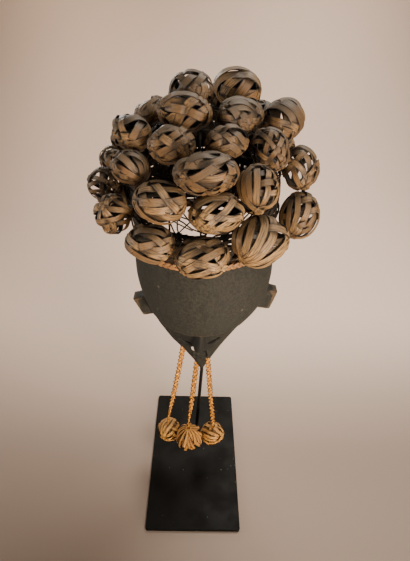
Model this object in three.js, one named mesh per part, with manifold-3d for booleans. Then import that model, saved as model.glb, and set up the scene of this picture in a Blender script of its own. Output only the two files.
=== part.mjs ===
// A carved wooden mask with a cap of openwork cane balls and a beard of three cords,
// held by a rod on a flat plate. Millimetres, +Z up, the mask faces -Y.
// The origin is the middle of the plate's underside.

import * as THREE from 'three';
import { mergeVertices } from 'three/addons/utils/BufferGeometryUtils.js';
import Module from 'manifold-3d';

const wasm = await Module();
wasm.setup();

// Driving dimensions
const fitGap = 0.3;

const plateWidth = 155;
const plateDepth = 280;
const plateThickness = 6;

const rodDiameter = 6;
const rodFoot = { x: 1.8, y: 30.7 };
const rodLean = 2.1;
const rodSides = 8;

// Cradle at the rod's head, inside the mask: its height in the head frame, and the pads on its three arms
const cradle = { height: 92, sideAngle: 78, padRadius: 7, padThickness: 3, padGap: 1.5, knobRadius: 4.8,
  knobRows: 4 };

// The head frame sits between the ears, with its own small lean and turn
const headOrigin = { x: 9.8, y: 30.7, z: 354 };
const headLean = -2.7;
const headTurn = -1.5;

// Mask: each stop is a height in the head frame and the size there
const widthStops = [[-102, 4.5], [-92, 10], [-80, 18], [-65, 28.5], [-50, 41], [-30, 57.5], [-14, 71.5],
  [4, 82], [25, 89.5], [45, 93.5], [66, 95.5], [90, 94.5], [108, 92]];
const rimStops = [[-102, 40], [-80, 39], [-64, 36], [-46, 30], [-30, 22], [-14, 14], [6, 5], [108, 5]];
const foreheadStops = [[-2, 88], [15, 92], [40, 95], [66, 96], [90, 95.5], [108, 93]];
const faceStops = [[-102, 49], [-80, 48.5], [-60, 52], [-40, 57], [-20, 61], [-6, 62]];
const topOfWood = 108;
const chinHeight = -102;
const browEdge = -2;
const browUnderside = -6;
const browRise = 9;
const wallThickness = 11;
const browWall = 12;
const browStep = 4;
const chinFloor = -80;
const hollowBack = 30;
const hollowTop = 120;
const slimmestHalf = 3;
const driftStops = [[-102, -6], [-80, -6], [-45, -8], [-14, -5], [10, -1.5], [30, 0]];

const nose = { rootHeight: 8, tipHeight: -49, baseHeight: -54, rootHalf: 4.5, tipHalf: 10.5, reach: 73, base: 48,
  rootRise: 4, flankFall: 9, underSpread: 0.9, underRise: 0.2 };
const eye = { fromMiddle: 22, height: -44, length: 23, opening: 4.5, slant: 32, dip: 32, cutDepth: 60,
  cutMiddle: 58 };
const eyeCorner = { place: [-17.9, -48, -60.6], length: 8, cutDepth: 34, opening: 5, slant: 50, dip: -43 };
const mouth = { top: -60, bottom: -78, half: 12, lip: 2.5, reach: 52.5, rootDepth: 14, recess: 5 };
const tooth = { count: 5, height: 5, gap: 0.8, root: 1, setBack: 2 };
const ear = { halfHeight: 16.5, reach: 12.5, front: 28, back: 7, taper: 1.5, droop: 4.5, root: 10, topRise: 2,
  bevel: 1.2 };
const leftEarHeight = 6;
const rightEarHeight = 18;

// Cap: a dome above the widest ring, and a steeper skirt below it
const capRadius = 101;
const capCentre = 176;
const skirtReach = 164;
const caneWidth = 5;
const hoopStep = 24;
const ribSteps = 6;
const ribSlimming = 0.8;
const ribFootRise = 0.2;
const capRibs = 8;
const footHoopSides = 16;
const crownHoopSides = 8;
const crownLatitude = 84;
const footHoopHeight = 120;
const band = { inner: 87.5, outer: 97, height: 8.5, braid: 32, relief: 0.9 };

// Balls: azimuth from the front and latitude in degrees, then width, height and depth
const ballTiers = {
  crown: [[-33.5, 81.5, 49.5, 43, 41]],
  upper: [[-75, 59, 38.5, 39.5, 26.5], [-16.5, 61.5, 58.5, 32.5, 42], [47, 59.5, 59, 42.5, 31.5],
    [128, 64.5, 64.5, 50, 45.5]],
  shoulder: [[-57, 43.5, 50.5, 38, 43.5], [-19, 43, 50, 40.5, 39], [19.5, 44.5, 45, 33, 36.5],
    [49.5, 35.5, 39, 47.5, 41.5], [94.5, 40, 52, 45, 52], [133, 33, 51.5, 45, 42.5],
    [161.5, 45, 50, 46, 47.5], [195.5, 46.5, 48, 44, 46], [223.5, 34.5, 48, 44, 41.5],
    [255.5, 31.5, 44, 41, 31.5]],
  middle: [[-82, 22, 25.5, 22, 27.5], [-43, 27.5, 42, 37, 42.5], [3.5, 29, 65, 42, 60],
    [31, 19, 44, 50.5, 45.5], [86.5, 13, 44, 56, 45], [124, 13, 48, 44, 46], [160, 15, 52, 46, 50],
    [200, 15, 52, 46, 50], [231, 13, 50, 46, 48], [254, 12, 43, 37.5, 41.5]],
  temple: [[-20, 15, 56.5, 44.5, 48], [8.5, 10.5, 56.5, 42, 42.5]],
  lower: [[-80, 6.5, 38, 41.5, 42.5], [-56, -1, 44.5, 48, 44.5], [-26.5, -6, 56, 43.5, 48],
    [1, -9, 59, 45, 51.5], [30.5, -5, 64, 56, 57.5], [77, -8.5, 50.5, 60.5, 49], [145, -10, 56, 46, 52],
    [174, -10, 54, 46, 52], [203, -10, 56, 46, 52], [231, -10, 54, 46, 52], [257, -9, 50, 44, 48]],
};
const ballWall = 3;
const ballOpenings = 5;
const capLatitude = 48;
const bridgeHalfAngle = 11;

// Beard: where each cord leaves the jaw, where it ends, and its end ball
const cord = { diameter: 9, sides: 8, step: 22, tuck: 6, settle: 12 };
const endBall = { rows: 5, sides: 8, flatAngle: 24 };
const jawDrop = 0.42;
const beard = {
  left: { top: [-21.5, -10, 290], end: [-46, -7.7, 106.5], ball: 37, sag: 3 },
  middle: { top: [0.8, -1, 262], end: [-11, -28, 118.5], ball: 41, sag: 2 },
  right: { top: [17.2, -15.5, 267], end: [31, -12.2, 102.5], ball: 38, sag: 3 },
};

const materials = {
  plate: { color: 0x1b1816, roughness: 0.55, metalness: 0.2 },
  rod: { color: 0x161413, roughness: 0.5, metalness: 0.4 },
  wood: { color: 0x3f3a31, roughness: 0.85, metalness: 0 },
  cap: { color: 0x1f1a16, roughness: 0.8, metalness: 0 },
  band: { color: 0x8a5a34, roughness: 0.8, metalness: 0 },
  cane: { color: 0x8a674b, roughness: 0.7, metalness: 0 },
  raffia: { color: 0xb98b58, roughness: 0.8, metalness: 0 },
};

const degrees = THREE.MathUtils.degToRad;

// Smooth value at a height, from a list of [height, value] stops
function along(stops, height) {
  const last = stops.length - 1;
  if (height <= stops[0][0]) return stops[0][1];
  if (height >= stops[last][0]) return stops[last][1];
  const i = stops.findIndex((stop) => stop[0] > height) - 1;
  const before = stops[Math.max(i - 1, 0)];
  const from = stops[i];
  const to = stops[i + 1];
  const after = stops[Math.min(i + 2, last)];
  const span = to[0] - from[0];
  const slopeFrom = (to[1] - before[1]) / (to[0] - before[0]);
  const slopeTo = (after[1] - from[1]) / (after[0] - from[0]);
  const t = (height - from[0]) / span;
  const h = t * t * (3 - 2 * t);
  return from[1] * (1 - h) + to[1] * h
    + span * (t * (1 - t) * (1 - t) * slopeFrom - t * t * (1 - t) * slopeTo);
}

// Closed body from points and triangles, turned so that its faces point out
function closedGeometry(points, triangles) {
  let volume = 0;
  for (const [a, b, c] of triangles) {
    volume += points[a].dot(new THREE.Vector3().crossVectors(points[b], points[c]));
  }
  const geometry = new THREE.BufferGeometry();
  geometry.setAttribute('position', new THREE.Float32BufferAttribute(points.flatMap((p) => p.toArray()), 3));
  geometry.setIndex(triangles.flatMap(([a, b, c]) => (volume > 0 ? [a, b, c] : [a, c, b])));
  return geometry;
}

// Skin over a stack of closed loops, with flat ends, or joined end to end when looped
function loftGeometry(rings, looped = false) {
  const sides = rings[0].length;
  const points = rings.flat();
  const triangles = [];
  const spans = looped ? rings.length : rings.length - 1;
  for (let r = 0; r < spans; r++) {
    const next = (r + 1) % rings.length;
    for (let s = 0; s < sides; s++) {
      const t = (s + 1) % sides;
      triangles.push([r * sides + s, r * sides + t, next * sides + t]);
      triangles.push([r * sides + s, next * sides + t, next * sides + s]);
    }
  }
  if (!looped) {
    const top = (rings.length - 1) * sides;
    const middles = [rings[0], rings[rings.length - 1]].map((ring) => {
      const middle = new THREE.Vector3();
      ring.forEach((p) => middle.add(p));
      return middle.divideScalar(sides);
    });
    points.push(...middles);
    for (let s = 0; s < sides; s++) {
      const t = (s + 1) % sides;
      triangles.push([points.length - 2, t, s]);
      triangles.push([points.length - 1, top + s, top + t]);
    }
  }
  return closedGeometry(points, triangles);
}

function solid(geometry) {
  const bare = geometry.clone();
  bare.deleteAttribute('normal');
  bare.deleteAttribute('uv');
  const merged = mergeVertices(bare, 1e-4);
  return new wasm.Manifold(new wasm.Mesh({
    numProp: 3,
    vertProperties: new Float32Array(merged.attributes.position.array),
    triVerts: new Uint32Array(merged.index.array),
  }));
}

function geometryOf(body) {
  const mesh = body.getMesh();
  const geometry = new THREE.BufferGeometry();
  geometry.setAttribute('position', new THREE.BufferAttribute(new Float32Array(mesh.vertProperties), 3));
  geometry.setIndex([...mesh.triVerts]);
  return geometry;
}

function piece(name, geometry, finish) {
  const mesh = new THREE.Mesh(geometry, new THREE.MeshStandardMaterial(materials[finish]));
  mesh.name = name;
  return mesh;
}

function boxAt(width, depth, height, x, y, z) {
  return new THREE.BoxGeometry(width, depth, height).translate(x, y, z);
}

// Straight bar between two points
function barGeometry(from, to, diameter, sides) {
  const bar = new THREE.CylinderGeometry(diameter / 2, diameter / 2, from.distanceTo(to), sides);
  const direction = to.clone().sub(from).normalize();
  bar.applyQuaternion(new THREE.Quaternion().setFromUnitVectors(new THREE.Vector3(0, 1, 0), direction));
  const middle = from.clone().add(to).multiplyScalar(0.5);
  return bar.translate(middle.x, middle.y, middle.z);
}

// Stand

function plateGeometry() {
  return boxAt(plateWidth, plateDepth, plateThickness, 0, 0, plateThickness / 2);
}

// Rod from the plate up into the mask, with three arms that bear on the inside of the wall
function standGeometry() {
  const foot = new THREE.Vector3(rodFoot.x, rodFoot.y, plateThickness + fitGap);
  const rise = headOrigin.z + cradle.height - foot.z;
  const head = foot.clone().add(new THREE.Vector3(rise * Math.tan(degrees(rodLean)), 0, rise));
  let stand = solid(barGeometry(foot, head, rodDiameter, rodSides));
  const hub = headGroup.worldToLocal(head.clone());
  const aside = wallPoint(cradle.height, cradle.sideAngle);
  const ahead = wallPoint(cradle.height, 0);
  const bearings = [[-aside.x, aside.y], [aside.x, aside.y], [0, ahead.y]];
  for (const [x, y] of bearings) {
    const outward = new THREE.Vector3(x, y, 0).normalize();
    const touch = new THREE.Vector3(x, y, hub.z).addScaledVector(outward, -cradle.padGap);
    const padBack = touch.clone().addScaledVector(outward, -cradle.padThickness);
    const arm = barGeometry(hub, padBack, rodDiameter, rodSides);
    const pad = barGeometry(padBack, touch, 2 * cradle.padRadius, rodSides);
    stand = stand.add(solid(arm.applyMatrix4(headGroup.matrix)));
    stand = stand.add(solid(pad.applyMatrix4(headGroup.matrix)));
  }
  const knob = new THREE.SphereGeometry(cradle.knobRadius, rodSides, cradle.knobRows);
  return geometryOf(stand.add(solid(knob.translate(head.x, head.y, head.z))));
}

// Mask

function driftAt(height) {
  return along(driftStops, height);
}

// Point of the wood's outer face at a height and an angle from the front
function facePoint(height, angle, depth, inset = 0) {
  const turn = degrees(angle);
  const half = Math.max(along(widthStops, height) - inset, slimmestHalf);
  const rim = along(rimStops, height);
  const reach = depth - inset - rim;
  return new THREE.Vector3(driftAt(height) + half * Math.sin(turn), -rim - reach * Math.cos(turn), height);
}

function wallPoint(height, angle) {
  return facePoint(height, angle, along(foreheadStops, height), wallThickness);
}

const outerRows = [[chinHeight, 0], [-92, 0], [-80, 0], [-66, 0], [-50, 0], [-34, 0], [-20, 0.2],
  [browUnderside, 1], [browEdge, 1], [4, 0.8], [16, 0.3], [34, 0], [54, 0], [74, 0], [92, 0], [topOfWood, 0]];
const outerColumns = 22;
const innerRows = [chinFloor, -60, -40, -18, browEdge + browWall - browStep, browEdge + browWall, 34, 64, 92,
  hollowTop];
const innerColumns = 14;

function outerWood() {
  const rings = outerRows.map(([height, lift]) => {
    const stops = height > browUnderside ? foreheadStops : faceStops;
    const ring = [];
    for (let c = 0; c <= outerColumns; c++) {
      const angle = -90 + (180 * c) / outerColumns;
      const point = facePoint(height, angle, along(stops, height));
      point.z += lift * browRise * Math.sin(degrees(angle)) ** 2;
      ring.push(point);
    }
    return ring;
  });
  return solid(loftGeometry(rings));
}

// The hollow opens at the back and at the top
function hollow() {
  const rings = innerRows.map((height) => {
    const stops = height >= browEdge + browWall ? foreheadStops : faceStops;
    const ring = [];
    for (let c = 0; c <= innerColumns; c++) {
      const angle = -90 + (180 * c) / innerColumns;
      const point = facePoint(Math.min(height, topOfWood), angle, along(stops, height), wallThickness);
      point.z = height;
      ring.push(point);
    }
    const first = ring[0];
    const last = ring[innerColumns];
    ring.unshift(new THREE.Vector3(first.x, hollowBack, height));
    ring.push(new THREE.Vector3(last.x, hollowBack, height));
    return ring;
  });
  return solid(loftGeometry(rings));
}

function noseSolid() {
  const levels = [[nose.rootHeight, 0, 1], [nose.tipHeight, 1, 1],
    [nose.baseHeight, nose.underSpread, nose.underRise]];
  const root = nose.base + nose.rootRise;
  const rings = levels.map(([height, spread, out]) => {
    const half = nose.rootHalf + (nose.tipHalf - nose.rootHalf) * spread;
    const reach = root + (nose.reach - root) * out;
    const flank = reach - nose.flankFall * out;
    const section = [[-1, nose.base], [-0.75, flank], [-0.25, reach],
      [0.25, reach], [0.75, flank], [1, nose.base]];
    return section.map(([side, depth]) => new THREE.Vector3(driftAt(height) + side * half, -depth, height));
  });
  return solid(loftGeometry(rings));
}

function eyeSlot(side) {
  const slot = new THREE.BoxGeometry(eye.length, eye.cutDepth, eye.opening);
  slot.rotateX(degrees(eye.dip));
  slot.rotateY(degrees(-side * eye.slant));
  return solid(slot.translate(driftAt(eye.height) + side * eye.fromMiddle, -eye.cutMiddle, eye.height));
}

// Pierced inner corner of the left eye, cut on the slope that the photo looks through
function pierced() {
  const cut = new THREE.BoxGeometry(eyeCorner.length, eyeCorner.cutDepth, eyeCorner.opening);
  cut.rotateY(degrees(eyeCorner.slant)).rotateX(degrees(eyeCorner.dip));
  return solid(cut.translate(...eyeCorner.place));
}

// Raised lips around a shallow mouth, with teeth that meet point to gap
function addMouth(wood) {
  const height = mouth.top - mouth.bottom;
  const middle = (mouth.top + mouth.bottom) / 2;
  const x = driftAt(middle);
  const front = -mouth.reach;
  const lips = boxAt(2 * mouth.half, mouth.rootDepth, height, x, front + mouth.rootDepth / 2, middle);
  const innerWidth = 2 * (mouth.half - mouth.lip);
  const inside = boxAt(innerWidth, mouth.recess * 2, height - 2 * mouth.lip, x, front, middle);
  let carved = wood.add(solid(lips)).subtract(solid(inside));
  const pitch = innerWidth / tooth.count;
  for (const row of [1, -1]) {
    const gum = row > 0 ? mouth.top - mouth.lip : mouth.bottom + mouth.lip;
    const count = row > 0 ? tooth.count : tooth.count - 1;
    for (let i = 0; i < count; i++) {
      const outline = new THREE.Shape();
      const left = (i - count / 2) * pitch + tooth.gap / 2;
      const right = left + pitch - tooth.gap;
      outline.moveTo(left, row * tooth.root);
      outline.lineTo(right, row * tooth.root);
      outline.lineTo((left + right) / 2, -row * tooth.height);
      outline.closePath();
      const wedge = new THREE.ExtrudeGeometry(outline, { depth: mouth.recess, bevelEnabled: false });
      wedge.rotateX(Math.PI / 2).translate(x, front + mouth.recess + tooth.setBack, gum);
      carved = carved.add(solid(wedge));
    }
  }
  return carved;
}

// Blunt wedge that stands out beside the brow, its outer face along the wood's slope
function earSolid(side, height) {
  const edge = along(widthStops, height);
  const outer = ear.halfHeight - ear.taper;
  const slope = (along(widthStops, height + outer) - along(widthStops, height - outer)) / 2;
  const root = edge - ear.root;
  const tip = edge + ear.reach;
  const block = new THREE.Shape();
  block.moveTo(side * root, height - ear.halfHeight);
  block.lineTo(side * (tip - slope), height - outer - ear.droop);
  block.lineTo(side * (tip + slope), height + outer - ear.droop);
  block.lineTo(side * root, height + ear.halfHeight + ear.topRise);
  block.closePath();
  const bevel = { bevelThickness: ear.bevel, bevelSize: ear.bevel, bevelOffset: -ear.bevel, bevelSegments: 1 };
  const shape = new THREE.ExtrudeGeometry(block, { depth: ear.front - ear.back - 2 * ear.bevel, ...bevel });
  shape.rotateX(Math.PI / 2);
  return solid(shape.translate(driftAt(height), -ear.back - ear.bevel, 0));
}

function maskBody() {
  let wood = outerWood();
  wood = wood.add(earSolid(-1, leftEarHeight)).add(earSolid(1, rightEarHeight));
  wood = wood.add(noseSolid()).subtract(hollow());
  wood = addMouth(wood);
  return wood.subtract(eyeSlot(-1)).subtract(eyeSlot(1)).subtract(pierced());
}

// Cap

// Point of the cap and the direction square to it, by azimuth and latitude
function capFrame(azimuth, latitude) {
  const a = degrees(azimuth);
  const l = degrees(latitude);
  const rise = latitude >= 0 ? capRadius : skirtReach;
  const flat = new THREE.Vector3(Math.sin(a), -Math.cos(a), 0);
  const foot = flat.clone().multiplyScalar(capRadius * Math.cos(l));
  foot.z = capCentre + rise * Math.sin(l);
  const outward = flat.clone().multiplyScalar(Math.cos(l) / capRadius);
  outward.z = Math.sin(l) / rise;
  outward.normalize();
  const east = new THREE.Vector3(Math.cos(a), Math.sin(a), 0);
  const north = new THREE.Vector3().crossVectors(outward, east);
  return { foot, outward, east, north };
}

function latitudeAt(height) {
  return THREE.MathUtils.radToDeg(Math.asin((height - capCentre) / skirtReach));
}

// Square cane section at a place on the cap, lying across the direction of travel
function caneSection({ foot, outward }, sideways, slimming = 0) {
  const half = caneWidth / 2 - slimming;
  const top = -slimming;
  const under = slimming - caneWidth;
  return [[top, -half], [top, half], [under, half], [under, -half]].map(([out, side]) => (
    foot.clone().addScaledVector(outward, out).addScaledVector(sideways, side)));
}

// Hoop through the feet of a tier's balls, smooth between them
function hoopSolid(places) {
  const sorted = [...places].sort((p, q) => p[0] - q[0]);
  const rings = [];
  sorted.forEach(([azimuth, latitude], i) => {
    const next = sorted[(i + 1) % sorted.length];
    const span = (next[0] - azimuth + 360) % 360 || 360;
    const steps = Math.max(1, Math.round(span / hoopStep));
    for (let k = 0; k < steps; k++) {
      const t = k / steps;
      const place = capFrame(azimuth + span * t, THREE.MathUtils.lerp(latitude, next[1], t * t * (3 - 2 * t)));
      rings.push(caneSection(place, place.north));
    }
  });
  return solid(loftGeometry(rings, true));
}

function ribSolid(azimuth) {
  const rings = [];
  const low = latitudeAt(footHoopHeight - caneWidth / 2 + ribFootRise);
  for (let i = 0; i <= ribSteps; i++) {
    const place = capFrame(azimuth, THREE.MathUtils.lerp(low, crownLatitude, i / ribSteps));
    rings.push(caneSection(place, place.east, ribSlimming));
  }
  return solid(loftGeometry(rings));
}

function levelHoop(latitude, count) {
  return Array.from({ length: count }, (_, i) => [(i * 360) / count, latitude]);
}

function capBody() {
  let cap = hoopSolid(levelHoop(latitudeAt(footHoopHeight), footHoopSides));
  cap = cap.add(hoopSolid(levelHoop(crownLatitude, crownHoopSides)));
  for (const tier of ['lower', 'middle', 'shoulder', 'upper']) cap = cap.add(hoopSolid(ballTiers[tier]));
  for (let i = 0; i < capRibs; i++) cap = cap.add(ribSolid(((i + 0.5) * 360) / capRibs));
  return cap;
}

function bandGeometry() {
  const rings = [];
  const low = topOfWood + fitGap;
  for (let i = 0; i < band.braid; i++) {
    const turn = (i * 2 * Math.PI) / band.braid;
    const swell = i % 2 ? band.relief : -band.relief;
    const out = new THREE.Vector3(Math.sin(turn), -Math.cos(turn), 0);
    rings.push([[band.outer + swell, low], [band.outer + swell, low + band.height],
      [band.inner, low + band.height], [band.inner, low]].map(([radius, z]) => (
      out.clone().multiplyScalar(radius).setZ(z))));
  }
  return loftGeometry(rings, true);
}

// Openwork ball: two pole caps joined by bridges between lozenge openings, with a wall of its own
function cageGeometry(width, height, depth) {
  const points = [];
  const triangles = [];
  const shell = (inset) => {
    const at = (polar, turn) => points.push(new THREE.Vector3(
      (width / 2 - inset) * Math.sin(degrees(polar)) * Math.cos(degrees(turn)),
      (height / 2 - inset) * Math.sin(degrees(polar)) * Math.sin(degrees(turn)),
      (depth / 2 - inset) * Math.cos(degrees(polar)),
    )) - 1;
    const pitch = 360 / ballOpenings;
    const skin = { top: at(0, 0), bottom: at(180, 0), upper: [], lower: [], left: [], right: [] };
    for (let k = 0; k < ballOpenings; k++) {
      skin.upper.push(at(capLatitude, k * pitch));
      skin.lower.push(at(180 - capLatitude, k * pitch));
      skin.left.push(at(90, (k + 0.5) * pitch - bridgeHalfAngle));
      skin.right.push(at(90, (k + 0.5) * pitch + bridgeHalfAngle));
    }
    return skin;
  };
  const outer = shell(0);
  const inner = shell(ballWall);
  const skinTriangles = (skin, flip) => {
    for (let k = 0; k < ballOpenings; k++) {
      const n = (k + 1) % ballOpenings;
      const faces = [[skin.top, skin.upper[k], skin.upper[n]], [skin.upper[k], skin.left[k], skin.right[k]],
        [skin.upper[k], skin.right[k], skin.upper[n]], [skin.left[k], skin.lower[k], skin.lower[n]],
        [skin.left[k], skin.lower[n], skin.right[k]], [skin.bottom, skin.lower[n], skin.lower[k]]];
      triangles.push(...faces.map(([a, b, c]) => (flip ? [a, c, b] : [a, b, c])));
    }
  };
  skinTriangles(outer, false);
  skinTriangles(inner, true);
  for (let k = 0; k < ballOpenings; k++) {
    const p = (k + ballOpenings - 1) % ballOpenings;
    const loop = ['upper', 'right', 'lower', 'left'].map((key, i) => (
      [outer[key][i === 1 ? p : k], inner[key][i === 1 ? p : k]]));
    loop.forEach(([a, inA], i) => {
      const [b, inB] = loop[(i + 1) % loop.length];
      triangles.push([a, b, inB], [a, inB, inA]);
    });
  }
  return closedGeometry(points, triangles);
}

function ballPiece(name, [azimuth, latitude, width, height, depth]) {
  const { foot, outward, east, north } = capFrame(azimuth, latitude);
  const ball = piece(name, cageGeometry(width, height, depth), 'cane');
  ball.position.copy(foot).addScaledVector(outward, depth / 2 + fitGap);
  ball.quaternion.setFromRotationMatrix(new THREE.Matrix4().makeBasis(east, north, outward));
  return ball;
}

// Beard

// Cord cut to the jaw's underside at its top and flat above its ball
function cordGeometry({ top, end, sag }, jaw) {
  const from = new THREE.Vector3(...top);
  const to = new THREE.Vector3(...end);
  const start = from.clone().setZ(from.z + cord.tuck);
  const middle = from.clone().add(to).multiplyScalar(0.5);
  middle.y += sag;
  const straightUp = to.clone().setZ(to.z + cord.settle);
  const path = new THREE.CatmullRomCurve3([start, from, middle, straightUp, to]);
  const section = new THREE.Shape();
  for (let i = 0; i < cord.sides; i++) {
    const turn = (i * 2 * Math.PI) / cord.sides;
    const corner = [Math.cos(turn) * cord.diameter / 2, Math.sin(turn) * cord.diameter / 2];
    if (i === 0) section.moveTo(...corner);
    else section.lineTo(...corner);
  }
  section.closePath();
  const steps = Math.round(path.getLength() / cord.step);
  const tube = new THREE.ExtrudeGeometry(section, { steps, extrudePath: path, bevelEnabled: false });
  return geometryOf(solid(tube).subtract(jaw));
}

// Wound ball with a flat top, below the cord's end
function endBallGeometry(diameter) {
  const profile = [];
  for (let i = 0; i <= endBall.rows; i++) {
    const polar = degrees(180 - ((180 - endBall.flatAngle) * i) / endBall.rows);
    profile.push(new THREE.Vector2((diameter / 2) * Math.sin(polar), (diameter / 2) * Math.cos(polar)));
  }
  profile[0].x = 0;
  profile.push(new THREE.Vector2(0, profile[endBall.rows].y));
  return new THREE.LatheGeometry(profile, endBall.sides).rotateX(Math.PI / 2);
}

// Assembly

const mask = new THREE.Group();
const headGroup = new THREE.Group();
headGroup.position.set(headOrigin.x, headOrigin.y, headOrigin.z);
headGroup.rotation.set(0, degrees(headLean), degrees(headTurn), 'XYZ');
headGroup.updateMatrixWorld(true);

mask.add(piece('base_plate', plateGeometry(), 'plate'));
mask.add(piece('stand_rod', standGeometry(), 'rod'));

const wood = maskBody();
headGroup.add(piece('mask', geometryOf(wood), 'wood'));
headGroup.add(piece('cap_band', bandGeometry(), 'band'));
headGroup.add(piece('cap_frame', geometryOf(capBody()), 'cap'));
let ballNumber = 0;
for (const tier of Object.values(ballTiers)) {
  for (const ball of tier) {
    ballNumber += 1;
    headGroup.add(ballPiece(`ball_${String(ballNumber).padStart(2, '0')}`, ball));
  }
}
mask.add(headGroup);

const carved = geometryOf(wood).applyMatrix4(headGroup.matrix);
const jaw = solid(carved).add(solid(carved.clone().translate(0, 0, -jawDrop)));
for (const [side, strand] of Object.entries(beard)) {
  mask.add(piece(`beard_cord_${side}`, cordGeometry(strand, jaw), 'raffia'));
  const ball = piece(`beard_ball_${side}`, endBallGeometry(strand.ball), 'raffia');
  const flatTop = (strand.ball / 2) * Math.cos(degrees(endBall.flatAngle));
  ball.position.set(strand.end[0], strand.end[1], strand.end[2] - flatTop - fitGap);
  mask.add(ball);
}

export default mask;
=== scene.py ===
import math
import random

import bmesh
import bpy
import numpy as np
from mathutils import Matrix, Vector, noise


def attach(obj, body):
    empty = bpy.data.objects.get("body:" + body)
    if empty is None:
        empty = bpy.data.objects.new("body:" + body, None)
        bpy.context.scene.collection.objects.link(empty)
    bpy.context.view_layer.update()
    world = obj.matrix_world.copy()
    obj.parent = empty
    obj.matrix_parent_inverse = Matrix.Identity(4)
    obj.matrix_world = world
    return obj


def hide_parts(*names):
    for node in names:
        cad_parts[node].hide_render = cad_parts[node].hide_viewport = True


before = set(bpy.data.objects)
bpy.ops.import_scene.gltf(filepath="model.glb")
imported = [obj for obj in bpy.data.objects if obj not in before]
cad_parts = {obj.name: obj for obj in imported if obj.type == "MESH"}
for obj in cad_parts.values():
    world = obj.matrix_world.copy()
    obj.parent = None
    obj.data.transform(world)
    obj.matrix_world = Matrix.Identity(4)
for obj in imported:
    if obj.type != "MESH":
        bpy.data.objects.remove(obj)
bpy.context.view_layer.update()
print("frame loaded")

noise.seed_set(7)  # noise_vector follows the clock without it

mm = 0.001
up = np.array([0.0, 0.0, 1.0])


def rotation(degrees, axis):
    return Matrix.Rotation(math.radians(degrees), 4, axis)


# Head frame, between the ears: everything above the beard is made in it, in millimetres
head = {"origin": (9.8, 30.7, 354), "lean": -2.7, "turn": -1.5}
headTurn = rotation(head["lean"], "Y") @ rotation(head["turn"], "Z")
headMatrix = Matrix.Translation(Vector(head["origin"])) @ headTurn
headAxes = np.array(headTurn)[:3, :3].T


def addObject(name, data):
    made = bpy.data.objects.new(name, data)
    bpy.context.scene.collection.objects.link(made)
    return made


# Camera: fitted to the corners of the base plate

view = {"place": (-0.0051, -0.5121, 0.7614), "yaw": 1.47, "pitch": 34.78, "roll": 2.21,
        "focalPixels": 450, "longSide": 561, "sensor": 36}


def cameraAxes():
    yaw, pitch, roll = (math.radians(view[key]) for key in ("yaw", "pitch", "roll"))
    level = np.array([math.cos(yaw), -math.sin(yaw), 0])
    flatForward = np.array([math.sin(yaw), math.cos(yaw), 0])
    forward = flatForward * math.cos(pitch) - up * math.sin(pitch)
    above = np.cross(level, forward)
    right = level * math.cos(roll) + above * math.sin(roll)
    return right, above * math.cos(roll) - level * math.sin(roll), forward


seenRight, seenUp, seenForward = cameraAxes()
camData = bpy.data.cameras.new("photoCamera")
camData.sensor_width = view["sensor"]
camData.lens = view["focalPixels"] / view["longSide"] * view["sensor"]
cam = addObject("photoCamera", camData)
cam.matrix_world = Matrix.Translation(view["place"]) @ Matrix(
    np.column_stack([seenRight, seenUp, -seenForward]).tolist()).to_4x4()
bpy.context.scene.camera = cam
print("camera ready")


# Mesh helpers

def unit(rows):
    return rows / np.linalg.norm(rows, axis=-1, keepdims=True)


def moved(points, matrix):
    rows = np.array(matrix)
    return points @ rows[:3, :3].T + rows[:3, 3]


def smooth(t):
    return t * t * (3 - 2 * t)


def turnsOf(count):
    return np.arange(count) * 2 * math.pi / count


def circle(turns, first, second):
    return first * np.cos(turns)[:, None] + second * np.sin(turns)[:, None]


# Values stepped smoothly from place to place round a loop, and level near each place
def loopSteps(places, values, period, at, plateau=0.0):
    places = np.concatenate([[places[-1] - period], places, [places[0] + period]])
    values = np.concatenate([[values[-1]], values, [values[0]]]).astype(float)
    i = np.clip(np.searchsorted(places, at, side="right") - 1, 0, len(places) - 2)
    t = (at - places[i]) / np.maximum(places[i + 1] - places[i], 1e-6)
    t = np.clip((t - plateau) / (1 - 2 * plateau), 0, 1)
    return values[i] + (values[i + 1] - values[i]) * smooth(t)


# Faces over rings of points, joined into a loop or capped at both ends
def skin(rings, sides, closed=False):
    at = np.arange(rings * sides).reshape(rings, sides)
    near, far = (at, np.roll(at, -1, axis=0)) if closed else (at[:-1], at[1:])
    faces = np.stack([near, np.roll(near, -1, axis=1), np.roll(far, -1, axis=1), far], axis=-1)
    faces = faces.reshape(-1, 4).tolist()
    return faces if closed else faces + [at[0][::-1].tolist(), at[-1].tolist()]


# Section carried along a line; section rows are (across, out), one section or one for each ring
def sweep(centres, across, out, section, closed=False):
    section = np.broadcast_to(section, (len(centres),) + np.shape(section)[-2:])
    points = centres[:, None] + across[:, None] * section[:, :, :1] + out[:, None] * section[:, :, 1:]
    return points.reshape(-1, 3), skin(*points.shape[:2], closed)


def loft(rings):
    rings = np.array(rings)
    return rings.reshape(-1, 3), skin(*rings.shape[:2])


def roundSection(width, height, sides):
    return circle(turnsOf(sides), np.array([width / 2, 0]), np.array([0, height / 2]))


def writeVectors(mesh, label, rows):
    layer = mesh.attributes.new(label, "FLOAT_VECTOR", "POINT")
    layer.data.foreach_set("vector", rows.astype(np.float32).ravel())


def faceOut(mesh):
    shape = bmesh.new()
    shape.from_mesh(mesh)
    bmesh.ops.recalc_face_normals(shape, faces=shape.faces)
    shape.to_mesh(mesh)
    shape.free()


def dress(piece, material, slot, *nodes):
    faceOut(piece.data)
    piece.data.materials.clear()
    piece.data.materials.append(material)
    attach(piece, "root")
    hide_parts(*nodes)
    return piece


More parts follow.
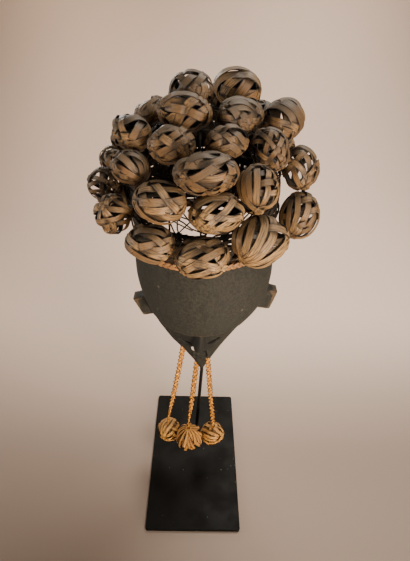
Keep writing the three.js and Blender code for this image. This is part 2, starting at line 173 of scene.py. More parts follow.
# Parts gathered into one mesh, with what the materials read: place for the grain, and marks of edge, inside
# and tone; on the fibres edge and inside are amounts of painted shade, on the mask they are wear and a
# painted shadow. above says how far a point faces up, for dust and painted shade on top
class Gather:
    def __init__(self):
        self.points, self.faces, self.place, self.marks, self.above = [], [], [], [], []
        self.count = 0

    def add(self, points, faces, place=None, marks=None, above=None):
        number = len(points)
        self.faces += [[v + self.count for v in face] for face in faces]
        self.points.append(points)
        self.place.append(points if place is None else place)
        self.marks.append(np.zeros((number, 3)) if marks is None else marks)
        self.above.append(np.zeros(number) if above is None else above)
        self.count += number

    # Points come in millimetres
    def build(self, name, material, slot, *nodes):
        mesh = bpy.data.meshes.new(name)
        mesh.from_pydata((np.concatenate(self.points) * mm).tolist(), [], self.faces)
        writeVectors(mesh, "place", np.concatenate(self.place))
        writeVectors(mesh, "marks", np.concatenate(self.marks))
        layer = mesh.attributes.new("above", "FLOAT", "POINT")
        layer.data.foreach_set("value", np.concatenate(self.above).astype(np.float32))
        mesh.shade_smooth()
        return dress(addObject(name, mesh), material, slot, *nodes)


# Node helpers

# A socket is linked, and a plain value is set
def feed(tree, socket, value):
    if isinstance(value, bpy.types.NodeSocket):
        tree.links.new(value, socket)
    else:
        socket.default_value = value


def addNode(tree, kind, values=(), **settings):
    node = tree.nodes.new(kind)
    for key, value in settings.items():
        setattr(node, key, value)
    for key, value in dict(values).items():
        feed(tree, node.inputs[key], value)
    return node


def attribute(tree, name, output="Vector"):
    return addNode(tree, "ShaderNodeAttribute", attribute_name=name).outputs[output]


def splitVector(tree, vector):
    return addNode(tree, "ShaderNodeSeparateXYZ", {"Vector": vector}).outputs


def addNoise(tree, place, scale, detail, **more):
    values = {"Vector": place, "Scale": scale, "Detail": detail, **more}
    return addNode(tree, "ShaderNodeTexNoise", values).outputs["Fac"]


def mixColours(tree, factor, first, second):
    colourSockets = {0: factor, 6: first, 7: second}
    return addNode(tree, "ShaderNodeMix", colourSockets, data_type="RGBA").outputs[2]


def maths(tree, operation, first, second):
    return addNode(tree, "ShaderNodeMath", {0: first, 1: second}, operation=operation).outputs[0]


def multiply(tree, first, second):
    return maths(tree, "MULTIPLY", first, second)


def spread(tree, value, low, high, toLow=0.0, toHigh=1.0):
    values = {"Value": value, "From Min": low, "From Max": high, "To Min": toLow, "To Max": toHigh}
    return addNode(tree, "ShaderNodeMapRange", values, interpolation_type="SMOOTHSTEP").outputs["Result"]


def newGroup(name, inputs, outputs):
    group = bpy.data.node_groups.new(name, "ShaderNodeTree")
    for socket, (kind, value) in inputs.items():
        made = group.interface.new_socket(socket, in_out="INPUT", socket_type="NodeSocket" + kind)
        if value is not None:
            made.default_value = value
    for socket, kind in outputs.items():
        group.interface.new_socket(socket, in_out="OUTPUT", socket_type="NodeSocket" + kind)
    source = group.nodes.new("NodeGroupInput")
    sink = group.nodes.new("NodeGroupOutput")
    return group, source.outputs, sink.inputs


def useGroup(tree, group, values):
    return addNode(tree, "ShaderNodeGroup", values, node_tree=group).outputs


def newMaterial(name, specular, roughness):
    material = bpy.data.materials.new(name)
    material.use_nodes = True
    surface = material.node_tree.nodes["Principled BSDF"].inputs
    surface["Specular IOR Level"].default_value = specular
    surface["Roughness"].default_value = roughness
    return material, material.node_tree, surface


def useBump(tree, surface, height, strength, distance):
    bump = addNode(tree, "ShaderNodeBump", {"Strength": strength, "Distance": distance, "Height": height})
    tree.links.new(bump.outputs["Normal"], surface["Normal"])


# Split cane and raffia: fibres along the strip, light middles with painted shade towards the edges, painted
# shade on the undersides, dust with painted shade on top

# The edge values set painted shade at the strips' edges; the film, its blotches and the dust colour set dust
# and painted shade on faces that look up
grainLooks = {"scale": 1.0, "detail": 5.0, "roughness": 0.65, "contrast": (0.38, 0.62), "blotchScale": 0.22,
              "blotchDetail": 3.0, "blotchBend": 0.6, "warmBlotches": (0.42, 0.68), "toneDark": 0.9,
              "film": 0.4, "dustAndShadeBlotches": (0.3, 0.6, 0.4, 1.0), "edge": (0.95, 0.0, 0.94),
              "gloss": (0.3, 0.7, 0.75, 0.5), "dust": (0.082, 0.074, 0.056, 1)}


def fibreGroup():
    group, given, result = newGroup("fibreGrain", {
        "Place": ("Vector", None), "Edge": ("Float", 0.0), "Inside": ("Float", 0.0), "Tone": ("Float", 0.5),
        "Above": ("Float", 0.0), "Edge Width": ("Float", 0.62), "Inside Shade": ("Float", 0.8),
        "Light": ("Color", None), "Dark": ("Color", None), "Warm": ("Color", None), "Shade": ("Color", None),
        "Dust And Top Shade": ("Color", grainLooks["dust"])}, {"Color": "Color", "Height": "Float", "Gloss": "Float"})
    fibres = addNoise(group, given["Place"], grainLooks["scale"], grainLooks["detail"],
                      Roughness=grainLooks["roughness"])
    blotches = addNoise(group, given["Place"], grainLooks["blotchScale"], grainLooks["blotchDetail"],
                        Distortion=grainLooks["blotchBend"])
    warmth = multiply(group, spread(group, blotches, *grainLooks["warmBlotches"]), given["Tone"])
    # Dust and painted shade on faces that look up
    dusty = spread(group, given["Above"], 0.0, 1.0, 0.0, grainLooks["film"])
    colour = mixColours(group, spread(group, fibres, *grainLooks["contrast"]), given["Dark"], given["Light"])
    for factor, layer in (
            (warmth, "Warm"),
            (multiply(group, given["Tone"], grainLooks["toneDark"]), "Dark"),
            # Dust and painted shade on top
            (multiply(group, dusty, spread(group, blotches, *grainLooks["dustAndShadeBlotches"])), "Dust And Top Shade"),
            # Painted shade at the strips' edges
            (spread(group, given["Edge"], given["Edge Width"], *grainLooks["edge"]), "Shade"),
            # Painted shade on the undersides and where strips tuck under others
            (multiply(group, given["Inside"], given["Inside Shade"]), "Shade")):
        colour = mixColours(group, factor, colour, given[layer])
    group.links.new(colour, result["Color"])
    group.links.new(fibres, result["Height"])
    group.links.new(spread(group, fibres, *grainLooks["gloss"]), result["Gloss"])
    return group


# Dust and small pale flecks that lie on a surface

dustLooks = {"fleckShare": 0.8, "cloudScale": 9.0, "cloudDetail": 5.0, "cloud": (0.4, 0.75)}


def dustGroup():
    group, given, result = newGroup("dust", {
        "Place": ("Vector", None), "Fleck Scale": ("Float", 300.0), "Fleck Size": ("Float", 0.1),
        "Film": ("Float", 0.1)}, {"Mask": "Float"})
    cells = addNode(group, "ShaderNodeTexVoronoi",
                    {"Vector": given["Place"], "Scale": given["Fleck Scale"]}).outputs
    chosen = addNode(group, "ShaderNodeSeparateColor", {"Color": cells["Color"]}).outputs["Red"]
    fleck = maths(group, "LESS_THAN", cells["Distance"], multiply(group, given["Fleck Size"], chosen))
    kept = multiply(group, fleck, maths(group, "GREATER_THAN", chosen, dustLooks["fleckShare"]))
    cloud = addNoise(group, given["Place"], dustLooks["cloudScale"], dustLooks["cloudDetail"])
    film = multiply(group, spread(group, cloud, *dustLooks["cloud"]), given["Film"])
    group.links.new(maths(group, "MAXIMUM", kept, film), result["Mask"])
    return group


fibreGrain = fibreGroup()
dust = dustGroup()

# Shade is the colour of the painted shade at edges, undersides and tucked places
fibreLooks = {
    "splitCane": {"Light": (0.258, 0.146, 0.054, 1), "Dark": (0.052, 0.029, 0.0125, 1),
                  "Warm": (0.27, 0.118, 0.033, 1), "Shade": (0.005, 0.003, 0.002, 1),
                  "Inside Shade": 0.95, "Edge Width": 0.15},
    "plaitedRaffia": {"Light": (0.80, 0.36, 0.035, 1), "Dark": (0.22, 0.075, 0.006, 1),
                      "Warm": (0.56, 0.20, 0.012, 1), "Shade": (0.02, 0.008, 0.003, 1),
                      "Inside Shade": 0.92, "Edge Width": 0.4},
    "woundRaffia": {"Light": (0.86, 0.44, 0.10, 1), "Dark": (0.34, 0.13, 0.02, 1),
                    "Warm": (0.64, 0.25, 0.035, 1), "Shade": (0.03, 0.012, 0.004, 1),
                    "Inside Shade": 0.75, "Edge Width": 0.35},
    "bandCane": {"Light": (0.25, 0.118, 0.032, 1), "Dark": (0.10, 0.042, 0.014, 1),
                 "Warm": (0.26, 0.095, 0.025, 1), "Shade": (0.03, 0.016, 0.01, 1),
                 "Inside Shade": 0.9, "Edge Width": 0.62},
}
fibreBumps = {"splitCane": 0.35, "plaitedRaffia": 0.6, "woundRaffia": 0.6, "bandCane": 0.4}


def fibreMaterial(name):
    material, tree, surface = newMaterial(name, 0.35, 0.62)
    marks = splitVector(tree, attribute(tree, "marks"))
    made = useGroup(tree, fibreGrain, {
        "Place": attribute(tree, "place"), "Edge": marks["X"], "Inside": marks["Y"], "Tone": marks["Z"],
        "Above": attribute(tree, "above", "Fac"), **fibreLooks[name]})
    tree.links.new(made["Color"], surface["Base Color"])
    tree.links.new(made["Gloss"], surface["Roughness"])
    useBump(tree, surface, made["Height"], fibreBumps[name], 0.0004)
    return material


caneMaterial, raffiaMaterial, woundMaterial, bandMaterial = map(fibreMaterial, fibreLooks)


# Beard cords: three-strand plaits along the routes of the CAD tubes, in metres

beard = {
    "left": {"top": (-0.0215, -0.01, 0.29), "end": (-0.046, -0.0077, 0.1065), "ball": 0.037, "sag": 0.003,
             "loose": 62, "thin": 0.6, "still": 0.2},
    "middle": {"top": (0.0008, -0.001, 0.262), "end": (-0.011, -0.028, 0.1185), "ball": 0.041, "sag": 0.002,
               "loose": 60, "thin": 0.3, "still": 0.4},
    "right": {"top": (0.0172, -0.0155, 0.267), "end": (0.031, -0.0122, 0.1025), "ball": 0.038, "sag": 0.003,
              "loose": 20, "thin": 0.8, "still": 0.8},
}
plait = {"diameter": 9.0, "tuck": 0.006, "settle": 0.012, "pathPoints": 26, "pitch": 26.0, "step": 1.1,
         "swing": 2.45, "depth": 1.5, "strandWidth": 4.1, "strandHeight": 2.3, "sides": 10, "gap": 0.3,
         "flatAngle": 24, "rough": 0.35, "roughLength": 3.2, "diveShade": 2.0, "underside": 0.9, "underFrom": -0.3,
         "toneStep": 0.35, "grainRound": 4, "grainAlong": 0.12, "grainShift": 40}


# Centripetal spline through the given points
def smoothLine(points, count):
    points = np.array(points, float)
    points = np.vstack([2 * points[0] - points[1], points, 2 * points[-1] - points[-2]])
    knots = np.concatenate([[0], np.cumsum(np.sqrt(np.linalg.norm(np.diff(points, axis=0), axis=1)))])
    line = []
    for t in np.linspace(knots[1], knots[-2], count):
        i = min(max(np.searchsorted(knots, t, side="right") - 1, 1), len(points) - 3)
        k, rows = knots[i - 1:i + 3], list(points[i - 1:i + 3])
        for reach in (1, 2):
            rows = [(rows[j] * (k[j + reach] - t) + rows[j + 1] * (t - k[j])) / (k[j + reach] - k[j])
                    for j in range(len(rows) - 1)]
        line.append((rows[0] * (k[2] - t) + rows[1] * (t - k[1])) / (k[2] - k[1]))
    return np.array(line)


def cordRoute(strand):
    top, end = np.array(strand["top"]), np.array(strand["end"])
    middle = (top + end) / 2 + np.array([0, strand["sag"], 0])
    marks = [top + up * plait["tuck"], top, middle, end + up * plait["settle"], end]
    return smoothLine(marks, plait["pathPoints"])


def evenly(line, step):
    run = np.concatenate([[0], np.cumsum(np.linalg.norm(np.diff(line, axis=0), axis=1))])
    stops = np.linspace(0, run[-1], max(int(run[-1] / step), 2))
    return np.column_stack([np.interp(stops, run, line[:, axis]) for axis in range(3)]), stops


# Strands loosen towards the cord's end: they get thinner and swing less
def plaitedCord(side, strand):
    route = cordRoute(strand)
    line, run = evenly(route / mm, plait["step"])
    heading = unit(np.gradient(line, axis=0))
    across = unit(np.cross(heading, [0, 1, 0]))
    out = np.cross(heading, across)
    loose = smooth(np.clip((run - run[-1] + strand["loose"]) / strand["loose"], 0, 1)[:, None])
    thin = 1 - (1 - strand["thin"]) * loose
    swing = thin * (1 - (1 - strand["still"]) * loose)
    sides = plait["sides"]
    section = roundSection(plait["strandWidth"], plait["strandHeight"], sides)
    turn = np.tile(turnsOf(sides), len(line))
    gather = Gather()
    for k in range(3):
        phase = 2 * math.pi * (run / plait["pitch"] + k / 3)[:, None]
        centre = (line + across * np.sin(phase) * plait["swing"] * swing
                  + out * np.sin(2 * phase) * plait["depth"] * swing)
        heading = unit(np.gradient(centre, axis=0))
        aside = unit(np.cross(heading, out))
        seeds = [Vector((stop / plait["roughLength"], 7.0 * k, strand["ball"] * 100)) for stop in run]
        size = thin * np.array([1 + plait["rough"] * noise.noise(seed) for seed in seeds])[:, None]
        points, faces = sweep(centre, aside, np.cross(aside, heading), section[None] * size[:, :, None])
        place = np.column_stack([np.cos(turn) * plait["grainRound"], np.sin(turn) * plait["grainRound"],
                                 np.repeat(run, sides) * plait["grainAlong"] + plait["grainShift"] * k])
        # Painted shade: strands darken where they dive under the others and on their undersides, and marks
        # towards their sides give painted shade at the edges
        diveShade = np.repeat(np.clip(-np.sin(2 * phase[:, 0]) * plait["diveShade"], 0, 1), sides)
        under = np.where(np.sin(turn) < plait["underFrom"], plait["underside"], diveShade)
        marks = np.column_stack([np.abs(np.cos(turn)), under, np.full(len(turn), plait["toneStep"] * k)])
        gather.add(points, faces, place, marks)
    return gather.build(f"plait_{side}", raffiaMaterial, "beard_raffia", f"beard_cord_{side}"), route


# Woven balls: strips round an ellipsoid, laid over and under each other in turn

# Strips are painted darker where they pass under others, as painted shade
ribbon = {"rings": 76, "thickness": 0.7, "flat": 0.7, "narrow": 0.78, "wide": 0.98, "lift": 1.3,
          "plateau": 0.2, "order": 0.7, "inset": 0.8, "sway": 0.8, "swayScale": 1.3, "jitter": 0.02,
          "rimDepth": 0.03, "steepest": 0.6, "kinship": 16, "pull": 0.5, "fanSide": 0.12, "alike": 0.75,
          "tuckShade": 0.75, "tone": 0.32, "ballTone": 0.04, "grainRound": 2.2, "grainAcross": 0.8}
fans = {"fan": 7, "sheaf": 6, "shell": 6}  # strips of the fan, over the rest on its own side

# Middle lines of the strips as they look on each ball: start, middle and end of each, right and up, in
# hundredths
# of the radius
weaves = {
    "pinwheel": [(-95, 25, -10, 62, 82, 43), (-15, 87, 10, 43, 45, -10), (-25, -6, 36, 0, 96, 22),
                 (-60, 55, -48, -5, -5, -50), (-88, 35, -82, -25, -35, -80), (-70, -30, 10, -40, 85, -12),
                 (-62, -60, 5, -80, 85, -36), (-75, 62, -5, 94, 62, 74), (75, 60, 95, 10, 85, -45)],
    "twin": [(-95, 28, -10, 60, 85, 30), (-40, 85, -5, 47, 50, -5), (-35, -15, 30, 5, 92, 18),
             (-80, 15, -42, -20, 10, -50), (-95, -10, -60, -50, 0, -80), (0, -32, 40, -30, 85, -5),
             (-50, -70, 10, -80, 80, -42), (-72, 66, -10, 93, 50, 82), (60, 75, 93, 10, 85, -45)],
    "bow": [(-75, -10, -10, -28, 50, -45), (-30, -35, 25, 5, 85, 40), (90, 20, 70, -20, 20, -60),
            (-90, -30, -55, 8, 10, 50), (-45, 75, 5, 45, 55, 2), (-25, 62, 30, 68, 85, 45),
            (-80, 45, -20, 90, 55, 82), (-75, -42, 5, -68, 80, -30), (-60, -72, 5, -93, 70, -66)],
    "fan": [(-85, -30, -90, 10, -75, 60), (-72, -35, -68, 15, -50, 70), (-55, -45, -38, 10, -28, 80),
            (-45, -62, 0, 5, 5, 90), (-40, -70, 28, -10, 42, 80), (-30, -85, 40, -55, 90, 5),
            (-15, -95, 45, -80, 90, -30), (-35, 50, 25, 50, 85, 35), (10, -5, 50, -5, 93, 2),
            (20, -40, 55, -38, 88, -25), (-40, 88, 20, 93, 70, 65)],
    "nest": [(-93, 0, -60, 62, 10, 93), (-75, -35, -72, 20, -20, 70), (-65, 45, -10, 42, 40, 75),
             (-10, -5, 28, 30, 55, 75), (55, 75, 72, 10, 45, -60), (80, 55, 95, 0, 75, -60),
             (-80, 5, -40, -45, 20, -90), (-35, -18, 20, -22, 70, -10), (-70, -65, 0, -72, 65, -70),
             (-90, -30, -62, -72, 0, -97), (10, 15, 60, -22, 92, -28), (-30, -42, 30, -50, 80, -48)],
    "slope": [(-75, 55, -10, 88, 60, 78), (-80, 25, -30, 60, 45, 58), (-62, -45, -35, 10, 0, 50),
              (0, -35, 38, 20, 62, 72), (-65, -5, 5, -25, 80, -22), (-20, -93, 30, -60, 80, -25),
              (72, 65, 95, 10, 80, -50), (-75, 60, -93, 5, -70, -60), (-60, -72, 0, -93, 65, -68),
              (-80, -38, -20, -68, 50, -78)],
    "stride": [(-95, -10, -65, 65, 15, 93), (2, 18, 30, 50, 60, 72), (-72, 30, -26, 22, 51, -7),
               (-75, -55, -30, -15, 5, 25), (-5, -80, 30, -35, 80, 15), (-93, 5, -50, -45, 10, -85),
               (50, 80, 92, 15, 75, -50), (-60, -72, 10, -95, 75, -60), (-85, 42, -10, 55, 70, 55)],
    "steps": [(-70, 5, 0, 40, 55, 75), (-20, -35, 30, 5, 80, 45), (-80, 30, -35, 70, 15, 95),
              (-93, 0, -45, -35, 15, -80), (-60, 55, -5, 12, 50, -30), (10, 85, 55, 45, 85, -10),
              (-65, -65, 10, -92, 80, -45), (-60, -75, 15, -45, 85, -5), (-80, 50, -95, -10, -65, -65)],
    "sheaf": [(-62, -50, -85, 5, -65, 65), (-45, -45, -62, 5, -45, 70), (-25, -50, -38, 10, -30, 80),
              (-8, -85, -2, 0, 0, 90), (10, -90, 42, -20, 50, 75), (25, -92, 75, -40, 92, 15),
              (-30, 60, 5, 67, 60, 72), (15, 25, 45, 30, 93, 30), (30, -15, 65, -12, 95, -5),
              (-50, 82, 10, 95, 60, 78)],
    "shell": [(-60, -65, -85, -5, -62, 55), (-48, -70, -50, 0, -40, 75), (-35, -75, -10, 0, -12, 85),
              (-25, -85, 25, -15, 45, 70), (-15, -95, 55, -35, 85, 35), (10, -97, 75, -58, 97, 5),
              (-45, 55, 0, 62, 55, 65), (5, 5, 45, 15, 90, 30), (10, -40, 45, -32, 85, -15),
              (-40, 85, 15, 95, 70, 65)],
    "window": [(-35, 85, 30, 55, 82, -15), (-70, 62, 0, 50, 50, -15), (-62, 55, -42, 10, -30, -45),
               (-80, 5, -10, -15, 65, -45), (-75, -35, -5, -50, 60, -72), (-85, 50, -93, 0, -75, -60),
               (-75, 64, -10, 93, 55, 75), (35, 80, 85, 20, 93, -30), (10, 70, 18, 10, 10, -60)],
    "arcs": [(-85, 35, -10, 88, 70, 62), (-92, 12, -25, 60, 75, 32), (-45, 35, -10, -10, 20, -75),
             (-15, 35, 15, -10, 35, -60), (-95, -15, -50, -22, 0, -30), (-90, -35, -40, -50, 10, -60),
             (93, -5, 60, -55, 0, -90), (85, 35, 45, -20, -20, -45), (-60, -72, 0, -95, 60, -75),
             (-60, 12, 10, 33, 90, 5)],
    "climb": [(-85, 0, -35, 50, 30, 75), (0, -20, 40, 30, 72, 68), (-60, -25, 15, -12, 88, 35),
              (-80, 25, -70, -25, -45, -80), (-45, 45, -42, -10, -25, -75), (-10, -55, 40, -40, 90, 0),
              (-60, -75, 10, -80, 80, -45), (-93, -30, -85, 30, -45, 75), (90, 35, 80, -30, 50, -80)],
    "brace": [(-70, 62, -5, 90, 65, 70), (-70, -20, -25, 33, 15, 75), (-5, -25, 30, 35, 55, 75),
              (-85, -25, -10, 0, 75, -5), (-75, -55, 0, -25, 90, -30), (-60, 75, -93, 10, -80, -50),
              (45, 85, 60, 20, 50, -65), (75, 60, 95, 0, 85, -45), (-55, 65, 5, 25, 55, -40),
              (-60, -75, 10, -70, 80, -60)],
    "lean": [(-90, 10, -30, 75, 45, 85), (-95, -15, -75, 35, -30, 85), (-72, 45, -15, 10, 45, -45),
             (-25, 60, 5, 30, 30, -10), (15, 90, 45, 40, 85, -10), (-30, -5, 40, 8, 95, -8),
             (-5, -35, 45, -25, 92, -30), (-97, -10, -50, -12, 10, -35), (-90, -40, -30, -50, 30, -70),
             (-50, -80, 20, -93, 80, -60)],
    "trellis": [(-35, -40, -12, 25, 12, 80), (25, -10, 52, 35, 65, 72), (-10, 35, 28, -8, 62, -60),
                (-60, -20, -10, -52, 40, -88), (-75, 55, -10, 90, 55, 75), (50, 80, 92, 10, 70, -65),
                (35, 85, 80, 30, 72, -40), (-80, 45, -93, -10, -65, -65), (-85, 25, -45, 30, 10, 15)],
    "zigzag": [(-55, 5, -10, 45, 35, 82), (-35, 25, 10, -5, 45, -60), (-60, 35, -35, -15, 5, -75),
               (0, -85, 45, -30, 75, 15), (25, -90, 70, -45, 93, 5), (-85, 35, -93, -10, -55, -75),
               (25, 88, 75, 50, 95, 5), (10, 60, 40, 35, 50, -10), (-45, -80, 5, -92, 55, -75)],
    "star": [(-45, 60, 0, 15, 35, -35), (-85, 10, -40, -15, 20, -50), (-95, -30, -45, -45, 20, -60),
             (15, 80, 45, 20, 50, -55), (45, 80, 80, 20, 65, -50), (-75, 30, -45, 65, 10, 75),
             (-50, 75, 10, 92, 70, 60), (-70, -65, 0, -85, 70, -60), (-75, 60, -95, 0, -80, -50)],
    "shelf": [(-70, 28, 0, 22, 72, 8), (-75, -35, -5, -22, 65, 5), (-85, 30, -30, 65, 30, 85),
              (5, 85, 35, 55, 75, 30), (-80, -50, -20, -55, 35, -45), (-10, -30, 0, -60, -5, -93),
              (55, 75, 75, 0, 55, -70), (-55, 75, -75, 10, -60, -70), (-15, 90, -40, 20, -35, -75)],
    "hoops": [(-75, -25, -30, 35, 20, 80), (-5, -50, 15, 20, 20, 85), (35, -60, 45, 10, 35, 80),
              (-90, -10, -45, -5, 10, 15), (65, 60, 90, 0, 60, -60), (-60, 65, 0, 93, 60, 70),
              (-60, -70, 0, -45, 70, -35), (-93, 25, -80, -30, -35, -85)],
}


# Rows: right, up and towards the viewer, as directions on the ball's own unit sphere
def seenFrame(centre, toBall, semi):
    toward = unit(np.array(view["place"]) / mm - centre)
    right = unit(seenRight - toward * (seenRight @ toward))
    above = np.cross(toward, right)
    rows = np.stack([toBall @ right, toBall @ above]) * semi
    sizes, turns = np.linalg.eigh(rows @ rows.T)
    flat = turns @ np.diag(sizes ** -0.5) @ turns.T @ rows
    depth = np.cross(flat[0], flat[1])
    if (depth * semi) @ (toBall @ toward) < 0:
        depth = -depth
    return np.vstack([flat, depth])


def spun(axes, degrees):
    cos, sin = math.cos(math.radians(degrees)), math.sin(math.radians(degrees))
    return np.stack([cos * axes[0] + sin * axes[1], cos * axes[1] - sin * axes[0], axes[2]])


# Axis and offset of each strip's circle, through three seen points; strips that lie alike are made more alike
def stripCircles(weave, seen, draw):
    circles, kin = [], []
    for strip in weaves[weave]:
        places = [value / 100 + draw.uniform(-ribbon["jitter"], ribbon["jitter"]) for value in strip]
        points = []
        for x, y in zip(places[::2], places[1::2]):
            depth = math.sqrt(max(1 - x * x - y * y, ribbon["rimDepth"]))
            points.append(unit(np.array([x, y, depth]) @ seen))
        axis = unit(np.cross(points[1] - points[0], points[2] - points[1]))
        if weave not in fans:
            near = [other for other in kin if abs(axis @ other) > math.cos(math.radians(ribbon["kinship"]))]
            if near:
                leader = near[0] * np.sign(axis @ near[0])
                axis = unit(axis * (1 - ribbon["pull"]) + leader * ribbon["pull"])
            else:
                kin.append(axis)
        offset = float(axis @ points[1])
        if abs(offset) > ribbon["steepest"]:
            rise = unit(axis - points[1] * offset)
            offset = math.copysign(ribbon["steepest"], offset)
            axis = points[1] * offset + rise * math.sqrt(1 - offset * offset)
        side = unit(np.cross(axis, [0.31, 0.87, 0.38]))  # any line that no strip's axis follows
        circles.append((axis, offset, side, np.cross(axis, side)))
    return circles


# The two points of the unit sphere where two circles cross, if they do
def crossings(first, second):
    (axisA, offsetA), (axisB, offsetB) = first[:2], second[:2]
    dot = axisA @ axisB
    if abs(dot) > 0.999:
        return dot, ()
    square = 1 - dot * dot
    base = (axisA * (offsetA - offsetB * dot) + axisB * (offsetB - offsetA * dot)) / square
    rest = 1 - base @ base
    if rest <= 0:
        return dot, ()
    reach = np.cross(axisA, axisB) * math.sqrt(rest / square)
    return dot, (base + reach, base - reach)


# Turns at which each circle is crossed, and whether it lies over (1) or under (-1) there
def overAndUnder(circles, leaders, right):
    events = [[] for _ in circles]
    swapped, alike = set(), set()
    for i in range(len(circles)):
        for j in range(i + 1, len(circles)):
            dot, points = crossings(circles[i], circles[j])
            for point in points:
                number = (i, j, len(events[i]) + len(events[j]))
                if point @ right > ribbon["fanSide"] and (i + j) % 2:
                    swapped.add(number)
                if abs(dot) > ribbon["alike"]:
                    alike.add(number)
                for k, other in ((i, j), (j, i)):
                    _, _, side, ahead = circles[k]
                    events[k].append((math.atan2(point @ ahead, point @ side), number, other))
    for row in events:
        row.sort(key=lambda event: event[0])
    level, started = {}, set()
    waiting = [(k, 1) for k in range(len(circles) - 1, -1, -1)]
    while waiting:
        k, first = waiting.pop()
        if k in started:
            continue
        started.add(k)
        woven = [number for _, number, _ in events[k] if number not in alike]
        for _, number, other in events[k]:
            if number in alike:
                level[(k, number)] = 1 if k < other else -1
                continue
            mine = first * (-1) ** woven.index(number)
            if (k < leaders) != (other < leaders):
                mine = 1 if (k < leaders) != (number in swapped) else -1
            level[(k, number)] = mine
            if other not in started:
                spot = [event[1] for event in events[other] if event[1] not in alike].index(number)
                waiting.append((other, -mine * (-1) ** spot))
    return [[(turn, level[(k, number)]) for turn, number, _ in row] for k, row in enumerate(events)]


def liftAt(turns, crossed):
    if len(crossed) < 2:
        return np.zeros_like(turns)
    places, levels = np.array(crossed, float).T
    return loopSteps(places, levels, 2 * math.pi, turns, ribbon["plateau"])


def ribbonSection(width):
    half, thick = width / 2, ribbon["thickness"] / 2
    flat = half * ribbon["flat"]
    return np.array([(-half, 0), (-half * 0.94, thick), (-flat, thick), (flat, thick),
                     (half * 0.94, thick), (half, 0), (half * 0.9, -thick), (-half * 0.9, -thick)])


# Adds one woven ball; basis rows are the ball's own axes, and semi its half sizes along them
def addBall(gather, centre, basis, semi, weave, seen, seed, width, tone, placed=None):
    draw = random.Random(seed)
    circles = stripCircles(weave, seen, draw)
    crossed = overAndUnder(circles, fans.get(weave, 0), seen[0])
    turns = np.linspace(-math.pi, math.pi, ribbon["rings"], endpoint=False)
    inner = semi - ribbon["inset"]
    ballTone = tone + draw.uniform(-ribbon["ballTone"], ribbon["ballTone"])
    for k, ((axis, offset, side, ahead), events) in enumerate(zip(circles, crossed)):
        sphere = axis * offset + circle(turns, side, ahead) * math.sqrt(1 - offset * offset)
        out = unit(sphere / inner)
        across = unit(np.cross(unit(circle(turns, ahead, -side) * inner), out))
        lift = liftAt(turns, events) * ribbon["lift"] + ribbon["order"] * (0.5 - k / len(circles))
        sway = np.array([noise.noise_vector(Vector(row * ribbon["swayScale"]) + Vector((seed, 0, 0)))
                         for row in sphere]) * ribbon["sway"]
        local = sphere * inner + out * (lift + sway[:, 0])[:, None] + across * sway[:, 1:2]
        stripWidth = width * draw.uniform(ribbon["narrow"], ribbon["wide"])
        section = ribbonSection(stripWidth)
        points, faces = sweep(local @ basis + centre, across @ basis, out @ basis, section, closed=True)
        number = len(section)
        turn = np.repeat(turns, number)
        reach = np.tile(section[:, 0], len(turns))
        grain = reach * ribbon["grainAcross"] + draw.uniform(0, 60)
        rings = [ring * ribbon["grainRound"] for ring in (np.cos(turn), np.sin(turn))]
        place = np.column_stack([*rings, grain])
        stripTone = min(max(ballTone + draw.uniform(-ribbon["tone"], ribbon["tone"]), 0), 1)
        # Painted shade: the strips' inner faces and the stretches tucked under other strips go dark, and rim
        # darkens their edges
        under = np.tile(section[:, 1] < 0, len(turns)).astype(float)
        tucked = np.repeat(np.clip(-lift / ribbon["lift"], 0, 1), number) * ribbon["tuckShade"]
        rim = (np.abs(reach) / stripWidth * 2 - ribbon["flat"]) / (1 - ribbon["flat"])
        inside = np.maximum(under, tucked)
        marks = np.column_stack([np.clip(rim, 0, 1), inside, np.full(len(turn), stripTone)])
        if placed is not None:
            points = moved(points, placed)
        # above: how far the strip's outer face looks up, for dust and painted shade on top
        above = np.repeat((unit(out @ basis) @ headAxes)[:, 2], number)
        gather.add(points, faces, place, marks, np.clip(above, 0, 1) * (1 - under))


# End balls of the beard: two wound ones, and a middle one whose strips fan out from the cord with free ends

beardBalls = {
    "left": {"weave": "sheaf", "width": 6.2, "core": 0.84, "spin": -35, "seed": 11},
    "right": {"weave": "sheaf", "width": 6.0, "core": 0.84, "spin": 70, "seed": 13},
}
woundRise = 0.6  # of the strips' middle over the ball's half width
tassel = {"strips": 54, "core": 0.78, "seed": 3, "rings": 16, "rootWidth": 2.2, "tipWidth": 6.0,
          "thickness": 0.6, "widening": 0.62, "shortest": 70, "longest": 132, "root": 0.12, "lift": 0.3,
          "broadSide": -55, "narrow": 0.5, "broaden": 0.6, "unevenGap": 0.35, "curl": 0.6,
          "narrowCurl": 0.5, "layers": 4, "lowestLayer": 0.84, "layerStep": 0.05, "uneven": 0.01, "tone": 0.8}
# The core is marked as inside, so it gets painted shade under the strips
core = {"rows": 20, "columns": 36, "pole": 0.02, "bumps": 0.05, "bumpScale": 3, "grain": 8,
        "marks": (0.3, 0.65, 0.5)}


def addCore(gather, centre, radius, seed):
    polar = np.linspace(core["pole"], math.pi - core["pole"], core["rows"])[:, None, None]
    level = circle(turnsOf(core["columns"]), np.array([1, 0, 0]), np.array([0, 1, 0]))
    spokes = (level * np.sin(polar) + up * np.cos(polar)).reshape(-1, 3)
    seeds = [Vector(row * core["bumpScale"]) + Vector((seed, seed, 0)) for row in spokes]
    bumps = np.array([noise.noise(place) for place in seeds])
    points = centre + spokes * radius * (1 + core["bumps"] * bumps)[:, None]
    marks = np.tile(core["marks"], (len(points), 1))
    gather.add(points, skin(core["rows"], core["columns"]), spokes * core["grain"], marks)


